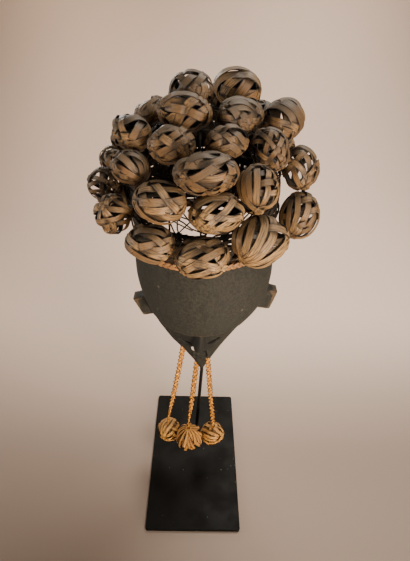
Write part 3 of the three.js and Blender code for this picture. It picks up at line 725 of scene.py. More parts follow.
# Gathers an end ball over its core, with its centre and half width in millimetres
def startEndBall(strand, looks):
    half = strand["ball"] / mm / 2
    flatTop = half * math.cos(math.radians(plait["flatAngle"]))
    centre = np.array(strand["end"]) / mm - up * (flatTop + plait["gap"])
    gather = Gather()
    addCore(gather, centre, half * looks["core"], looks["seed"])
    return gather, centre, half


def woundBall(side, strand):
    looks = beardBalls[side]
    gather, centre, half = startEndBall(strand, looks)
    semi = np.full(3, half + woundRise)
    seen = spun(seenFrame(centre, np.eye(3), semi), looks["spin"])
    addBall(gather, centre, np.eye(3), semi, looks["weave"], seen, looks["seed"], looks["width"], 0.0)
    return gather.build(f"wound_ball_{side}", woundMaterial, "beard_raffia", f"beard_ball_{side}")


def tasselBall(strand):
    draw = random.Random(tassel["seed"])
    gather, centre, half = startEndBall(strand, tassel)
    t = np.linspace(0, 1, tassel["rings"])
    flat = np.array([(-1, 0), (-0.5, 1), (0.5, 1), (1, 0), (0, -1)])
    reach = np.tile(flat[:, 0], len(t))
    for k in range(tassel["strips"]):
        spot = k + draw.uniform(-tassel["unevenGap"], tassel["unevenGap"])
        bearing = 2 * math.pi * spot / tassel["strips"]
        length = math.radians(draw.uniform(tassel["shortest"], tassel["longest"]))
        broad = 0.5 + 0.5 * math.cos(bearing - math.radians(tassel["broadSide"]))
        curl = draw.uniform(-tassel["curl"], tassel["curl"]) + tassel["narrowCurl"] * (1 - broad)
        polar = tassel["root"] + (length - tassel["root"]) * t
        turn = bearing + curl * t * t
        spoke = np.column_stack([np.sin(polar) * np.cos(turn), np.sin(polar) * np.sin(turn), np.cos(polar)])
        layer = tassel["lowestLayer"] + tassel["layerStep"] * (k % tassel["layers"])
        uneven = draw.uniform(-tassel["uneven"], tassel["uneven"])
        line = centre + spoke * (half * (layer + tassel["lift"] * broad * t ** 3 + uneven))[:, None]
        heading = unit(np.gradient(line, axis=0))
        across = unit(np.cross(heading, spoke))
        growth = (tassel["tipWidth"] - tassel["rootWidth"]) * np.sin(t * math.pi * tassel["widening"])
        width = (tassel["rootWidth"] + growth) * (tassel["narrow"] + tassel["broaden"] * broad)
        size = np.stack([width / 2, np.full(len(t), tassel["thickness"] / 2)], axis=-1)
        points, faces = sweep(line, across, np.cross(across, heading), flat[None] * size[:, None])
        place = np.column_stack([np.repeat(t, len(flat)) * 2.8, reach * 4, np.full(len(reach), k * 7.0)])
        stripTone = draw.uniform(0, tassel["tone"])
        # Edge marks give painted shade towards the strips' edges
        marks = np.column_stack([np.abs(reach), reach * 0, np.full(len(reach), stripTone)])
        gather.add(points, faces, place, marks)
    return gather.build("tassel_ball_middle", woundMaterial, "beard_raffia", "beard_ball_middle")


for side, strand in beard.items():
    cord, route = plaitedCord(side, strand)
    ball = tasselBall(strand) if side == "middle" else woundBall(side, strand)
print("beard plaited")


# Cap: the surface that the hoops and balls sit on, in the head frame

cap = {"radius": 101, "centre": 176, "skirt": 164, "gap": 0.3}


def capFrame(azimuth, latitude):
    a, l = math.radians(azimuth), math.radians(latitude)
    rise = cap["radius"] if latitude >= 0 else cap["skirt"]
    flat = np.array([math.sin(a), -math.cos(a), 0])
    foot = flat * cap["radius"] * math.cos(l) + up * (cap["centre"] + rise * math.sin(l))
    outward = unit(flat * math.cos(l) / cap["radius"] + up * math.sin(l) / rise)
    east = np.array([math.cos(a), math.sin(a), 0])
    return foot, outward, east, np.cross(outward, east)


def latitudeAt(height):
    return math.degrees(math.asin((height - cap["centre"]) / cap["skirt"]))


# Balls: azimuth, latitude, width, height and depth as in the CAD, then the weave, its strips' width, its spin
# and its tone, from 0 for pale to 1 for dark, partly the cane's own colour and partly painted light and shade
# that sets each ball's brightness
balls = {
    "crown": [(-33.5, 81.5, 49.5, 43, 41, "brace", 9.4, 0, 1.0)],
    "upper": [(-75, 59, 38.5, 39.5, 26.5, "hoops", 8, 0, 0.5),
              (-16.5, 61.5, 58.5, 32.5, 42, "stride", 10.4, 0, 0.6),
              (47, 59.5, 59, 42.5, 31.5, "arcs", 9.8, 0, 1.0),
              (128, 64.5, 64.5, 50, 45.5, "slope", 13.8, 0, 0.42)],
    "shoulder": [(-57, 43.5, 50.5, 38, 43.5, "climb", 9, 0, 0.7),
                 (-19, 43, 50, 40.5, 39, "steps", 9.4, 0, 0.62),
                 (19.5, 44.5, 45, 33, 36.5, "lean", 8.8, 0, 0.95),
                 (49.5, 35.5, 39, 47.5, 41.5, "trellis", 6.2, 0, 0.85),
                 (94.5, 40, 52, 45, 52, "window", 12.6, 0, 0.7),
                 (133, 33, 51.5, 45, 42.5, "pinwheel", 8.6, 50, 0.8),
                 (161.5, 45, 50, 46, 47.5, "bow", 8.4, 110, 0.8),
                 (195.5, 46.5, 48, 44, 46, "stride", 9, 70, 0.8),
                 (223.5, 34.5, 48, 44, 41.5, "twin", 8.2, 200, 0.8),
                 (255.5, 31.5, 44, 41, 31.5, "slope", 7.6, 150, 0.8)],
    "middle": [(-82, 22, 25.5, 22, 27.5, "hoops", 6.2, 40, 0.8),
               (-43, 27.5, 42, 37, 42.5, "star", 8.2, 0, 1.0),
               (3.5, 29, 65, 42, 60, "nest", 9.8, 0, 0.9), (31, 19, 44, 50.5, 45.5, "sheaf", 7.4, 0, 0.68),
               (86.5, 13, 44, 56, 45, "zigzag", 7.8, 0, 0.9), (124, 13, 48, 44, 46, "window", 9.4, 120, 0.7),
               (160, 15, 52, 46, 50, "fan", 8.8, 30, 0.7), (200, 15, 52, 46, 50, "lean", 8.4, 200, 0.7),
               (231, 13, 50, 46, 48, "arcs", 8.6, 80, 0.7),
               (254, 12, 43, 37.5, 41.5, "brace", 7.2, 130, 0.7)],
    "temple": [(-20, 15, 56.5, 44.5, 48, "pinwheel", 9.6, 0, 0.42),
               (8.5, 10.5, 56.5, 42, 42.5, "slope", 9.1, 0, 0.06)],
    "lower": [(-80, 6.5, 38, 41.5, 42.5, "trellis", 5.6, 20, 1.0),
              (-56, -1, 44.5, 48, 44.5, "shelf", 7.4, 0, 0.52),
              (-26.5, -6, 56, 43.5, 48, "twin", 9.8, 0, 0.55), (1, -9, 59, 45, 51.5, "bow", 9.6, 0, 0.15),
              (30.5, -5, 64, 56, 57.5, "fan", 10, 0, 0), (77, -8.5, 50.5, 60.5, 49, "shell", 9, 0, 0.7),
              (145, -10, 56, 46, 52, "steps", 9.4, 40, 0.5), (174, -10, 54, 46, 52, "climb", 9, 160, 0.6),
              (203, -10, 56, 46, 52, "nest", 9, 250, 0.5), (231, -10, 54, 46, 52, "shell", 8.6, 90, 0.6),
              (257, -9, 50, 44, 48, "stride", 8.6, 300, 0.5)],
}


def wovenBall(number, row):
    azimuth, latitude, width, height, depth, weave, stripWidth, spin, tone = row
    foot, outward, east, north = capFrame(azimuth, latitude)
    centre = foot + outward * (depth / 2 + cap["gap"])
    basis = np.stack([east, north, outward])
    semi = np.array([width, height, depth]) / 2
    seen = spun(seenFrame(moved(centre, headMatrix), basis @ headAxes, semi), spin)
    gather = Gather()
    addBall(gather, centre, basis, semi, weave, seen, 100 + number, stripWidth, tone, headMatrix)
    name = f"ball_{number:02d}"
    gather.build(f"woven_{name}", caneMaterial, "ball_cane", name)


for number, row in enumerate([row for tier in balls.values() for row in tier], 1):
    wovenBall(number, row)
print("balls woven:", number)


# Cap frame: hoops through the balls' feet and ribs, tied where they cross, all of thin cane coloured near
# black, partly as blackened cane and partly as painted shade between the balls

hoops = {"cane": 2.3, "sink": 0.6, "gap": 2.6, "step": 5, "crown": 84, "footHeight": 120}
ribs = {"count": 16, "sink": 2.0, "shortTop": 70, "points": 26, "bend": 3}
strays = {"count": 90, "cane": 1.5, "sink": 1.4, "sinkMore": 2, "points": 14}
loose = {"cane": 1.7, "sink": 0.8, "points": 16}
ties = {"ring": 4.2, "cane": 1.4, "points": 18, "sides": 6}
shadeLining = {"hoopStrip": 6.6, "hoopStep": 5.7, "hoopWave": 0.7, "ribStrip": 6.8, "ribStep": 4.4,
          "ribPoints": 22, "bend": 3, "thickness": 0.7, "sink": 5.0, "ribSink": 7.0, "uneven": 0.8,
          "ends": 6, "tops": 8}
caneSides = 7

# Near-black woven lining behind the hoops, a dark sheet that puts painted shade in the gaps between the
# balls: azimuth from and to, latitude from and to
shadeLinings = [(96, 296, -18, 72), (-64, 62, -24, -6), (44, 104, -24, 22), (-104, -40, -24, 18)]

# Loose canes in the open front: azimuth and latitude of their turns
looseCanes = [[(-9, 18), (-10, 10), (-14, 1)], [(-15, 2), (-6, -2.5), (4, -5)],
              [(-11, 6.5), (-6, 0), (0, -4)], [(-13, 4), (-6, 2), (2, 0)],
              [(-15, 1), (-15.5, -3), (-14, -7)], [(-20, -1), (-18, -4.5), (-14, -8)],
              [(6, -7), (12.5, -5), (28, -1), (34, 3)], [(8, -8), (15, -6), (30, -3), (36, 1)],
              [(10, -6), (20, -5), (32, -3.5)], [(-5, 22), (-3, 14), (-8, 8)]]

# Near black: the cane's blackening and painted shade between the balls
darkCaneAndShadeLooks = {"cane": (0.007, 0.0055, 0.0045, 1), "worn": (0.035, 0.021, 0.012, 1), "scale": 0.15,
                  "detail": 4.0, "wear": (0.45, 0.75), "bump": 0.4}


def darkCaneAndShadeMaterial():
    material, tree, surface = newMaterial("darkCaneAndShade", 0.15, 0.8)
    soot = addNoise(tree, attribute(tree, "place"), darkCaneAndShadeLooks["scale"], darkCaneAndShadeLooks["detail"])
    wear = spread(tree, soot, *darkCaneAndShadeLooks["wear"])
    colour = mixColours(tree, wear, darkCaneAndShadeLooks["cane"], darkCaneAndShadeLooks["worn"])
    tree.links.new(colour, surface["Base Color"])
    useBump(tree, surface, soot, darkCaneAndShadeLooks["bump"], 0.0004)
    return material


# Cane under the cap's surface, by azimuth and latitude of its places
def addCane(gather, places, diameter, sink, closed=False, width=None):
    frames = [capFrame(azimuth, latitude)[:2] for azimuth, latitude in places]
    centres = np.array([foot - outward * (diameter / 2 + sink) for foot, outward in frames])
    outs = np.array([outward for _, outward in frames])
    if closed:
        heading = unit(np.roll(centres, -1, axis=0) - np.roll(centres, 1, axis=0))
    else:
        heading = unit(np.gradient(centres, axis=0))
    across = unit(np.cross(heading, outs))
    section = roundSection(width or diameter, diameter, caneSides)
    gather.add(*sweep(moved(centres, headMatrix), across @ headAxes, np.cross(across, heading) @ headAxes,
                      section, closed))


def ribPlaces(azimuth, bend, low, high, points):
    return [(azimuth + bend * math.sin(math.pi * t), low + (high - low) * t)
            for t in np.linspace(0, 1, points)]


# Two thin hoops that cross and recross, through the feet of a tier of balls
def addHoops(gather, draw, tier):
    feet = np.array(sorted((row[0] % 360, row[1]) for row in tier), float)
    azimuths = np.arange(0, 360, hoops["step"])
    latitudes = loopSteps(feet[:, 0], feet[:, 1], 360, azimuths)
    for shift in (-hoops["gap"] / 2, hoops["gap"] / 2):
        sway = shift * np.cos(np.radians(azimuths * 9) + draw.uniform(0, 6))
        places = zip(azimuths, latitudes + np.degrees(sway / cap["radius"]))
        addCane(gather, places, hoops["cane"], hoops["sink"], closed=True)


def capLattice():
    gather = Gather()
    draw = random.Random(5)
    low = latitudeAt(hoops["footHeight"])
    for latitude in (low, hoops["crown"]):
        addHoops(gather, draw, [(azimuth, latitude) for azimuth in range(0, 360, 30)])
    for tier in ("lower", "middle", "shoulder", "upper"):
        addHoops(gather, draw, balls[tier])
    for k in range(ribs["count"]):
        top = hoops["crown"] if k % 2 else ribs["shortTop"]
        bend = draw.uniform(-ribs["bend"], ribs["bend"])
        places = ribPlaces(k * 360 / ribs["count"], bend, low - 1, top - 1, ribs["points"])
        addCane(gather, places, hoops["cane"], ribs["sink"])
    for _ in range(strays["count"]):
        azimuth, latitude = draw.uniform(0, 360), draw.uniform(-14, 50)
        turn, fall = draw.uniform(18, 46) * draw.choice((-1, 1)), draw.uniform(-22, 22)
        places = [(azimuth + turn * t, latitude + fall * t) for t in np.linspace(0, 1, strays["points"])]
        addCane(gather, places, strays["cane"], strays["sink"] + draw.uniform(0, strays["sinkMore"]))
    for stops in looseCanes:
        spots, at = np.linspace(0, 1, len(stops)), np.linspace(0, 1, loose["points"])
        places = zip(*(np.interp(at, spots, values) for values in zip(*stops)))
        addCane(gather, places, loose["cane"], loose["sink"])
    for region in shadeLinings:
        addShadeLining(gather, draw, *region)
    for tier in balls.values():
        for row in tier:
            addTie(gather, *capFrame(row[0], row[1]), draw)
    return gather.build("cap_lattice", darkCaneAndShadeMaterial(), "cap_cane", "cap_frame")


def addShadeLining(gather, draw, near, far, foot, crown):
    for latitude in np.arange(foot, crown, math.degrees(shadeLining["hoopStep"] / cap["radius"])):
        wave, width = draw.uniform(0, 6), shadeLining["hoopStrip"] * draw.uniform(0.8, 1.1)
        start, end = near + draw.uniform(0, shadeLining["ends"]), far - draw.uniform(0, shadeLining["ends"])
        places = [(azimuth, latitude + shadeLining["hoopWave"] * math.sin(math.radians(azimuth * 6) + wave))
                  for azimuth in np.arange(start, end, hoops["step"])]
        sink = shadeLining["sink"] + draw.uniform(0, shadeLining["uneven"])
        addCane(gather, places, shadeLining["thickness"], sink, width=width)
    for azimuth in np.arange(near, far, shadeLining["ribStep"]):
        bend = draw.uniform(-shadeLining["bend"], shadeLining["bend"])
        width = shadeLining["ribStrip"] * draw.uniform(0.8, 1.15)
        top = crown - draw.uniform(0, min(shadeLining["tops"], (crown - foot) / 4))
        places = ribPlaces(azimuth, bend, foot, top, shadeLining["ribPoints"])
        addCane(gather, places, shadeLining["thickness"], shadeLining["ribSink"], width=width)


# Loop of thin cane that ties a ball's foot to its hoop
def addTie(gather, foot, outward, east, north, draw):
    swing = draw.uniform(0, math.pi)
    side = east * math.cos(swing) + north * math.sin(swing)
    spoke = circle(turnsOf(ties["points"]), side, outward)
    centres = foot + spoke * ties["ring"]
    across = np.broadcast_to(np.cross(side, outward), centres.shape)
    section = roundSection(ties["cane"], ties["cane"], ties["sides"])
    points, faces = sweep(centres, across, spoke, section, closed=True)
    gather.add(moved(points, headMatrix), faces)


capLattice()
print("cap laced")


# Cap band: a flat plait of cane round the top of the wood, over a plain ring

band = {"low": 108.3, "height": 8.5, "inner": 88.0, "core": 95.0, "outer": 97.0, "corner": 0.8, "waves": 26,
        "rings": 520, "strandWidth": 4.2, "strandHeight": 1.3, "strandSides": 8, "swing": 2.3, "depth": 0.7,
        "coreMarks": (0.2, 0.55, 0.5), "coreGrain": (0.6, 0.6, 1.2), "grainRound": 10, "grainAcross": 1.6,
        "grainShift": 20, "toneStep": 0.2}


def plaitedBand():
    gather = Gather()
    turns = turnsOf(band["rings"])
    spoke = circle(turns, np.array([0, -1, 0]), np.array([1, 0, 0]))
    middle = band["low"] + band["height"] / 2
    wide, tall = (band["core"] - band["inner"]) / 2, band["height"] / 2
    innerWide, innerTall = wide - band["corner"], tall - band["corner"]
    section = np.array([(-innerTall, wide), (innerTall, wide), (tall, innerWide), (tall, -innerWide),
                        (innerTall, -wide), (-innerTall, -wide), (-tall, -innerWide), (-tall, innerWide)])
    ring = spoke * (band["core"] + band["inner"]) / 2 + up * middle
    points, faces = sweep(ring, np.broadcast_to(up, spoke.shape), spoke, section, closed=True)
    # The plain ring under the plait is marked as inside: painted shade
    marks = np.tile(band["coreMarks"], (len(points), 1))
    gather.add(moved(points, headMatrix), faces, points * np.array(band["coreGrain"]), marks)
    flat = roundSection(band["strandWidth"], band["strandHeight"], band["strandSides"])
    run = np.repeat(turns, len(flat))
    reach = np.tile(flat[:, 0], len(turns))
    for k in range(3):
        phase = band["waves"] * turns + 2 * math.pi * k / 3
        radius = band["outer"] - band["depth"] + band["depth"] * np.sin(2 * phase)
        height = middle + band["swing"] * np.sin(phase)
        centre = spoke * radius[:, None] + up * height[:, None]
        heading = unit(np.roll(centre, -1, axis=0) - np.roll(centre, 1, axis=0))
        across = unit(np.cross(heading, spoke))
        points, faces = sweep(centre, across, np.cross(across, heading), flat, closed=True)
        place = np.column_stack([np.cos(run) * band["grainRound"], np.sin(run) * band["grainRound"],
                                 reach * band["grainAcross"] + band["grainShift"] * k])
        # Edge marks give painted shade towards the strands' edges
        marks = np.column_stack([np.abs(reach) / band["strandWidth"] * 2, reach * 0,
                                 np.full(len(run), band["toneStep"] * (1 + k))])
        gather.add(moved(points, headMatrix), faces, place, marks)
    return gather.build("plaited_band", bandMaterial, "band_cane", "cap_band")


plaitedBand()
print("band plaited")


# Mask: the same forms as the CAD, in fine rows, then worn by hand-sized noise

mask = {
    "width": [(-102, 4.5), (-92, 10), (-80, 18), (-65, 28.5), (-50, 41), (-30, 57.5), (-14, 71.5), (4, 82),
              (25, 89.5), (45, 93.5), (66, 95.5), (90, 94.5), (108, 92)],
    "rim": [(-102, 40), (-80, 39), (-64, 36), (-46, 30), (-30, 22), (-14, 14), (6, 5), (108, 5)],
    "forehead": [(-2, 88), (15, 92), (40, 95), (66, 96), (90, 95.5), (108, 93)],
    "face": [(-102, 49), (-80, 48.5), (-60, 52), (-40, 57), (-20, 61), (-6, 62)],
    "drift": [(-102, -6), (-80, -6), (-45, -8), (-14, -5), (10, -1.5), (30, 0)],
    "lift": [(-34, 0), (-20, 0.2), (-6, 1), (-2, 1), (4, 0.8), (16, 0.3), (34, 0)],
    "chin": -102, "top": 108, "browEdge": -2, "browUnderside": -6, "browRise": 9, "wall": 11, "browWall": 12,
    "chinFloor": -80, "backReach": 30, "hollowTop": 120, "columns": 72, "rowStep": 2.5, "hollowStep": 4,
}
nose = {"rootHeight": 8, "tipHeight": -49, "baseHeight": -54, "rootHalf": 4.5, "tipHalf": 10.5, "reach": 73,
        "base": 48, "root": 52, "shoulder": 3.5, "flank": 11}
eye = {"fromMiddle": 22, "height": -44, "length": 23, "opening": 4.5, "slant": 32, "dip": 32, "cutMiddle": 58,
       "cutDepth": 60}
eyeCorner = {"place": (-17.9, -48, -60.6), "length": 8, "cutDepth": 34, "opening": 5, "slant": 50, "dip": -43}
mouth = {"top": -60, "bottom": -78, "half": 12, "lip": 2.5, "reach": 51.6, "recess": 5, "teeth": 5,
         "toothHeight": 5, "toothGap": 0.6, "toothSink": 2, "rootDepth": 14}
ear = {"halfHeight": 16.5, "reach": 12.5, "front": 28, "back": 7, "taper": 1.5, "droop": 4.5, "root": 10,
       "topRise": 2, "leftHeight": 6, "rightHeight": 18}


# Smooth value at a height, from the mask's stops of height and value
def valueAt(key, height):
    stops = mask[key]
    last = len(stops) - 1
    if height <= stops[0][0]:
        return stops[0][1]
    if height >= stops[last][0]:
        return stops[last][1]
    i = next(k for k, stop in enumerate(stops) if stop[0] > height) - 1
    before, start, end, after = stops[max(i - 1, 0)], stops[i], stops[i + 1], stops[min(i + 2, last)]
    span = end[0] - start[0]
    slopeStart = (end[1] - before[1]) / (end[0] - before[0])
    slopeEnd = (after[1] - start[1]) / (after[0] - start[0])
    t = (height - start[0]) / span
    bend = t * (1 - t) ** 2 * slopeStart - t * t * (1 - t) * slopeEnd
    return start[1] * (1 - smooth(t)) + end[1] * smooth(t) + span * bend


def facePoint(height, angle, depth, inset=0):
    turn = math.radians(angle)
    half = max(valueAt("width", height) - inset, 3)
    rim = valueAt("rim", height)
    return np.array([valueAt("drift", height) + half * math.sin(turn),
                     -rim - (depth - inset - rim) * math.cos(turn), height])


def formObject(name, points, faces):
    mesh = bpy.data.meshes.new(name)
    mesh.from_pydata(np.asarray(points).tolist(), [], faces)
    faceOut(mesh)
    return addObject(name, mesh)


# Outline of x and z drawn out from one y to another
def slabForm(name, outline, depths):
    return formObject(name, *loft([[(x, y, z) for x, z in outline] for y in depths]))


def boxForm(name, size, matrix):
    ends = (-0.5, 0.5)
    corners = np.array([(x, y, z) for x in ends for y in ends for z in ends]) * np.array(size)
    faces = [(0, 1, 3, 2), (4, 6, 7, 5), (0, 4, 5, 1), (2, 3, 7, 6), (0, 2, 6, 4), (1, 5, 7, 3)]
    return formObject(name, moved(corners, matrix), faces)


def outerForm():
    low = [*np.arange(mask["chin"], mask["browUnderside"] + 0.1, mask["rowStep"]), mask["browUnderside"]]
    high = np.arange(mask["browEdge"], mask["top"] + 0.1, mask["rowStep"])
    rings = []
    for height, surface in [(row, "face") for row in low] + [(row, "forehead") for row in high]:
        depth = valueAt(surface, height)
        rise = valueAt("lift", height) * mask["browRise"]
        angles = np.linspace(-90, 90, mask["columns"] + 1)
        rings.append([facePoint(height, angle, depth) + up * rise * math.sin(math.radians(angle)) ** 2
                      for angle in angles])
    return formObject("woodOuter", *loft(rings))


def hollowForm():
    edge = mask["browEdge"] + mask["browWall"]
    step, back = mask["hollowStep"], mask["backReach"]
    heights = [*np.arange(mask["chinFloor"], edge - step, step), edge - step,
               *np.arange(edge, mask["top"], step)]
    rings = []
    for height in heights + [mask["top"], mask["hollowTop"]]:
        depth = valueAt("forehead" if height >= edge else "face", height)
        ring = np.array([facePoint(min(height, mask["top"]), angle, depth, mask["wall"])
                         for angle in np.linspace(-90, 90, mask["columns"] // 2 + 1)])
        ring[:, 2] = height
        rings.append([(ring[0][0], back, height), *ring, (ring[-1][0], back, height)])
    return formObject("woodHollow", *loft(rings))


def noseForm():
    rings = []
    for height, wide, out in ((nose["rootHeight"], 0, 1), (nose["tipHeight"], 1, 1),
                              (nose["baseHeight"], 0.9, 0.2)):
        half = nose["rootHalf"] + (nose["tipHalf"] - nose["rootHalf"]) * wide
        reach = nose["root"] + (nose["reach"] - nose["root"]) * out
        flank, shoulder = reach - nose["flank"] * out, reach - nose["shoulder"] * out
        section = [(-1, nose["base"]), (-0.8, flank), (-0.5, shoulder), (0, reach),
                   (0.5, shoulder), (0.8, flank), (1, nose["base"])]
        rings.append([(valueAt("drift", height) + side * half, -depth, height) for side, depth in section])
    return formObject("woodNose", *loft(rings))


def eyeForm(side):
    place = (valueAt("drift", eye["height"]) + side * eye["fromMiddle"], -eye["cutMiddle"], eye["height"])
    matrix = Matrix.Translation(place) @ rotation(-side * eye["slant"], "Y") @ rotation(eye["dip"], "X")
    return boxForm("woodEye", (eye["length"], eye["cutDepth"], eye["opening"]), matrix)


# Pierced inner corner of the left eye, cut on the slope that the camera looks through
def piercedForm():
    matrix = (Matrix.Translation(eyeCorner["place"]) @ rotation(eyeCorner["dip"], "X")
              @ rotation(eyeCorner["slant"], "Y"))
    return boxForm("woodPierced", (eyeCorner["length"], eyeCorner["cutDepth"], eyeCorner["opening"]), matrix)


def earForm(side, height):
    edge = valueAt("width", height)
    outer = ear["halfHeight"] - ear["taper"]
    slope = (valueAt("width", height + outer) - valueAt("width", height - outer)) / 2
    root, tip = edge - ear["root"], edge + ear["reach"]
    outline = [(root, height - ear["halfHeight"]), (tip - slope, height - outer - ear["droop"]),
               (tip + slope, height + outer - ear["droop"]),
               (root, height + ear["halfHeight"] + ear["topRise"])]
    drift = valueAt("drift", height)
    return slabForm("woodEar", [(side * x + drift, z) for x, z in outline], (-ear["back"], -ear["front"]))


def toothForms(middle):
    pitch = 2 * (mouth["half"] - mouth["lip"]) / mouth["teeth"]
    front = -mouth["reach"] + mouth["toothSink"]
    forms = []
    for row, gum, count in ((1, mouth["top"] - mouth["lip"], mouth["teeth"]),
                            (-1, mouth["bottom"] + mouth["lip"], mouth["teeth"] - 1)):
        for k in range(count):
            left = middle + (k - count / 2) * pitch + mouth["toothGap"] / 2
            right = left + pitch - mouth["toothGap"]
            outline = [(left, gum + row), (right, gum + row),
                       ((left + right) / 2, gum - row * mouth["toothHeight"])]
            forms.append(slabForm("woodTooth", outline, (front, front + mouth["recess"] + 1)))
    return forms


def mouthForms():
    height, middle = mouth["top"] - mouth["bottom"], (mouth["top"] + mouth["bottom"]) / 2
    drift, half, lip = valueAt("drift", middle), mouth["half"], mouth["lip"]
    lipPlace = Matrix.Translation((drift, -mouth["reach"] + mouth["rootDepth"] / 2, middle))
    gapPlace = Matrix.Translation((drift, -mouth["reach"], middle))
    lips = boxForm("woodLips", (2 * half, mouth["rootDepth"], height), lipPlace)
    gap = boxForm("woodGap", (2 * (half - lip), 2 * mouth["recess"], height - 2 * lip), gapPlace)
    return [(lips, "UNION"), (gap, "DIFFERENCE")] + [(tooth, "UNION") for tooth in toothForms(drift)]


def applyModifiers(body):
    graph = bpy.context.evaluated_depsgraph_get()
    made = bpy.data.meshes.new_from_object(body.evaluated_get(graph))
    body.modifiers.clear()
    body.data = made


def carve(body, tool, operation):
    step = body.modifiers.new("carve", "BOOLEAN")
    step.operation = operation
    step.solver = "EXACT"
    step.object = tool
    applyModifiers(body)
    bpy.data.objects.remove(tool)


def readRows(items, key, width=3, kind=np.float32):
    rows = np.empty(len(items) * width, kind)
    items.foreach_get(key, rows)
    return rows.reshape(-1, width)


# soot, the edge after it, socket and socketReach set a painted shadow over the left eye socket and beside the
# nose
woodLooks = {"voxel": 1.35, "smooth": 18, "swell": 0.45, "dents": 0.28, "grain": 0.10, "wear": 2.3,
             "wearRounds": 8, "wearSoftening": 2, "earWear": 0.6, "soot": 0.85, "shadowEdge": 1.35,
             "socket": (-18, -58, -38), "socketReach": (34, 28, 26)}
woodPaint = {"deep": (0.0050, 0.0048, 0.0036, 1), "pale": (0.0145, 0.0134, 0.0095, 1),
             "bloom": (0.0102, 0.0105, 0.0088, 1), "streak": (0.0052, 0.0046, 0.004, 1),
             "worn": (0.062, 0.039, 0.020, 1), "scuffed": (0.08, 0.07, 0.052, 1),
             # Painted shadow colour for the left eye socket
             "socketShadow": (0.002, 0.002, 0.0022, 1), "mottles": (0.4, 0.6),
             "clouds": (0.45, 0.7, 0.0, 0.6), "streaks": (0.5, 0.75, 0.0, 0.5),
             "wear": (0.35, 0.9, 0.0, 0.8), "scuffs": (0.10, 0.145, 0.55, 0.0), "wearMottle": 0.9,
             "scuffMottle": 0.12, "alongGrain": (0.9, 0.9, 0.07), "scuffScale": 0.035, "grainBump": 0.7,
             "bump": 0.55}


# How much each point stands out from its neighbours, smoothed a little
def edgeWear(mesh, rows, normals):
    ends = readRows(mesh.edges, "vertices", 2, np.int32)
    degree = np.bincount(ends.ravel(), minlength=len(rows))[:, None]

    def evened(values, rounds):
        for _ in range(rounds):
            total = np.zeros_like(values)
            np.add.at(total, ends[:, 0], values[ends[:, 1]])
            np.add.at(total, ends[:, 1], values[ends[:, 0]])
            values = total / np.maximum(degree, 1)
        return values

    stand = ((rows - evened(rows, woodLooks["wearRounds"])) * normals).sum(axis=1, keepdims=True)
    return evened(stand, woodLooks["wearSoftening"])[:, 0]


def woodMaterial():
    material, tree, surface = newMaterial("carvedWood", 0.25, 0.8)
    place, marks = attribute(tree, "place"), splitVector(tree, attribute(tree, "marks"))
    cloud = addNoise(tree, place, 0.03, 6.0, Roughness=0.6)
    mottle = addNoise(tree, place, 0.3, 7.0, Roughness=0.7)
    stretch = {"Vector": place, "Scale": woodPaint["alongGrain"]}
    grain = addNoise(tree, addNode(tree, "ShaderNodeMapping", stretch).outputs[0], 1.0, 4.0)
    cells = {"Vector": place, "Scale": woodPaint["scuffScale"]}
    scuffs = addNode(tree, "ShaderNodeTexVoronoi", cells).outputs["Distance"]
    mottled = spread(tree, mottle, *woodPaint["mottles"])
    colour = mixColours(tree, mottled, woodPaint["deep"], woodPaint["pale"])
    wearMottle = multiply(tree, maths(tree, "SUBTRACT", mottle, 0.5), woodPaint["wearMottle"])
    scuffMottle = multiply(tree, mottle, woodPaint["scuffMottle"])
    for factor, layer in (
            (spread(tree, cloud, *woodPaint["clouds"]), "bloom"),
            (spread(tree, grain, *woodPaint["streaks"]), "streak"),
            (spread(tree, maths(tree, "ADD", marks["X"], wearMottle), *woodPaint["wear"]), "worn"),
            (spread(tree, maths(tree, "ADD", scuffs, scuffMottle), *woodPaint["scuffs"]), "scuffed"),
            # Painted shadow in the left eye socket
            (marks["Y"], "socketShadow")):
        colour = mixColours(tree, factor, colour, woodPaint[layer])
    tree.links.new(colour, surface["Base Color"])
    height = maths(tree, "ADD", mottle, multiply(tree, grain, woodPaint["grainBump"]))
    useBump(tree, surface, height, woodPaint["bump"], 0.0009)
    return material


def carvedMask():
    body = outerForm()
    carve(body, noseForm(), "UNION")
    carve(body, earForm(-1, ear["leftHeight"]), "UNION")
    carve(body, earForm(1, ear["rightHeight"]), "UNION")
    carve(body, hollowForm(), "DIFFERENCE")
    for tool, operation in mouthForms():
        carve(body, tool, operation)
    for tool in (eyeForm(-1), eyeForm(1), piercedForm()):
        carve(body, tool, "DIFFERENCE")
    remesh = body.modifiers.new("fine", "REMESH")
    remesh.mode = "VOXEL"
    remesh.voxel_size = woodLooks["voxel"]
    soften = body.modifiers.new("soften", "SMOOTH")
    soften.iterations = woodLooks["smooth"]
    soften.factor = 0.5
    applyModifiers(body)
    return body


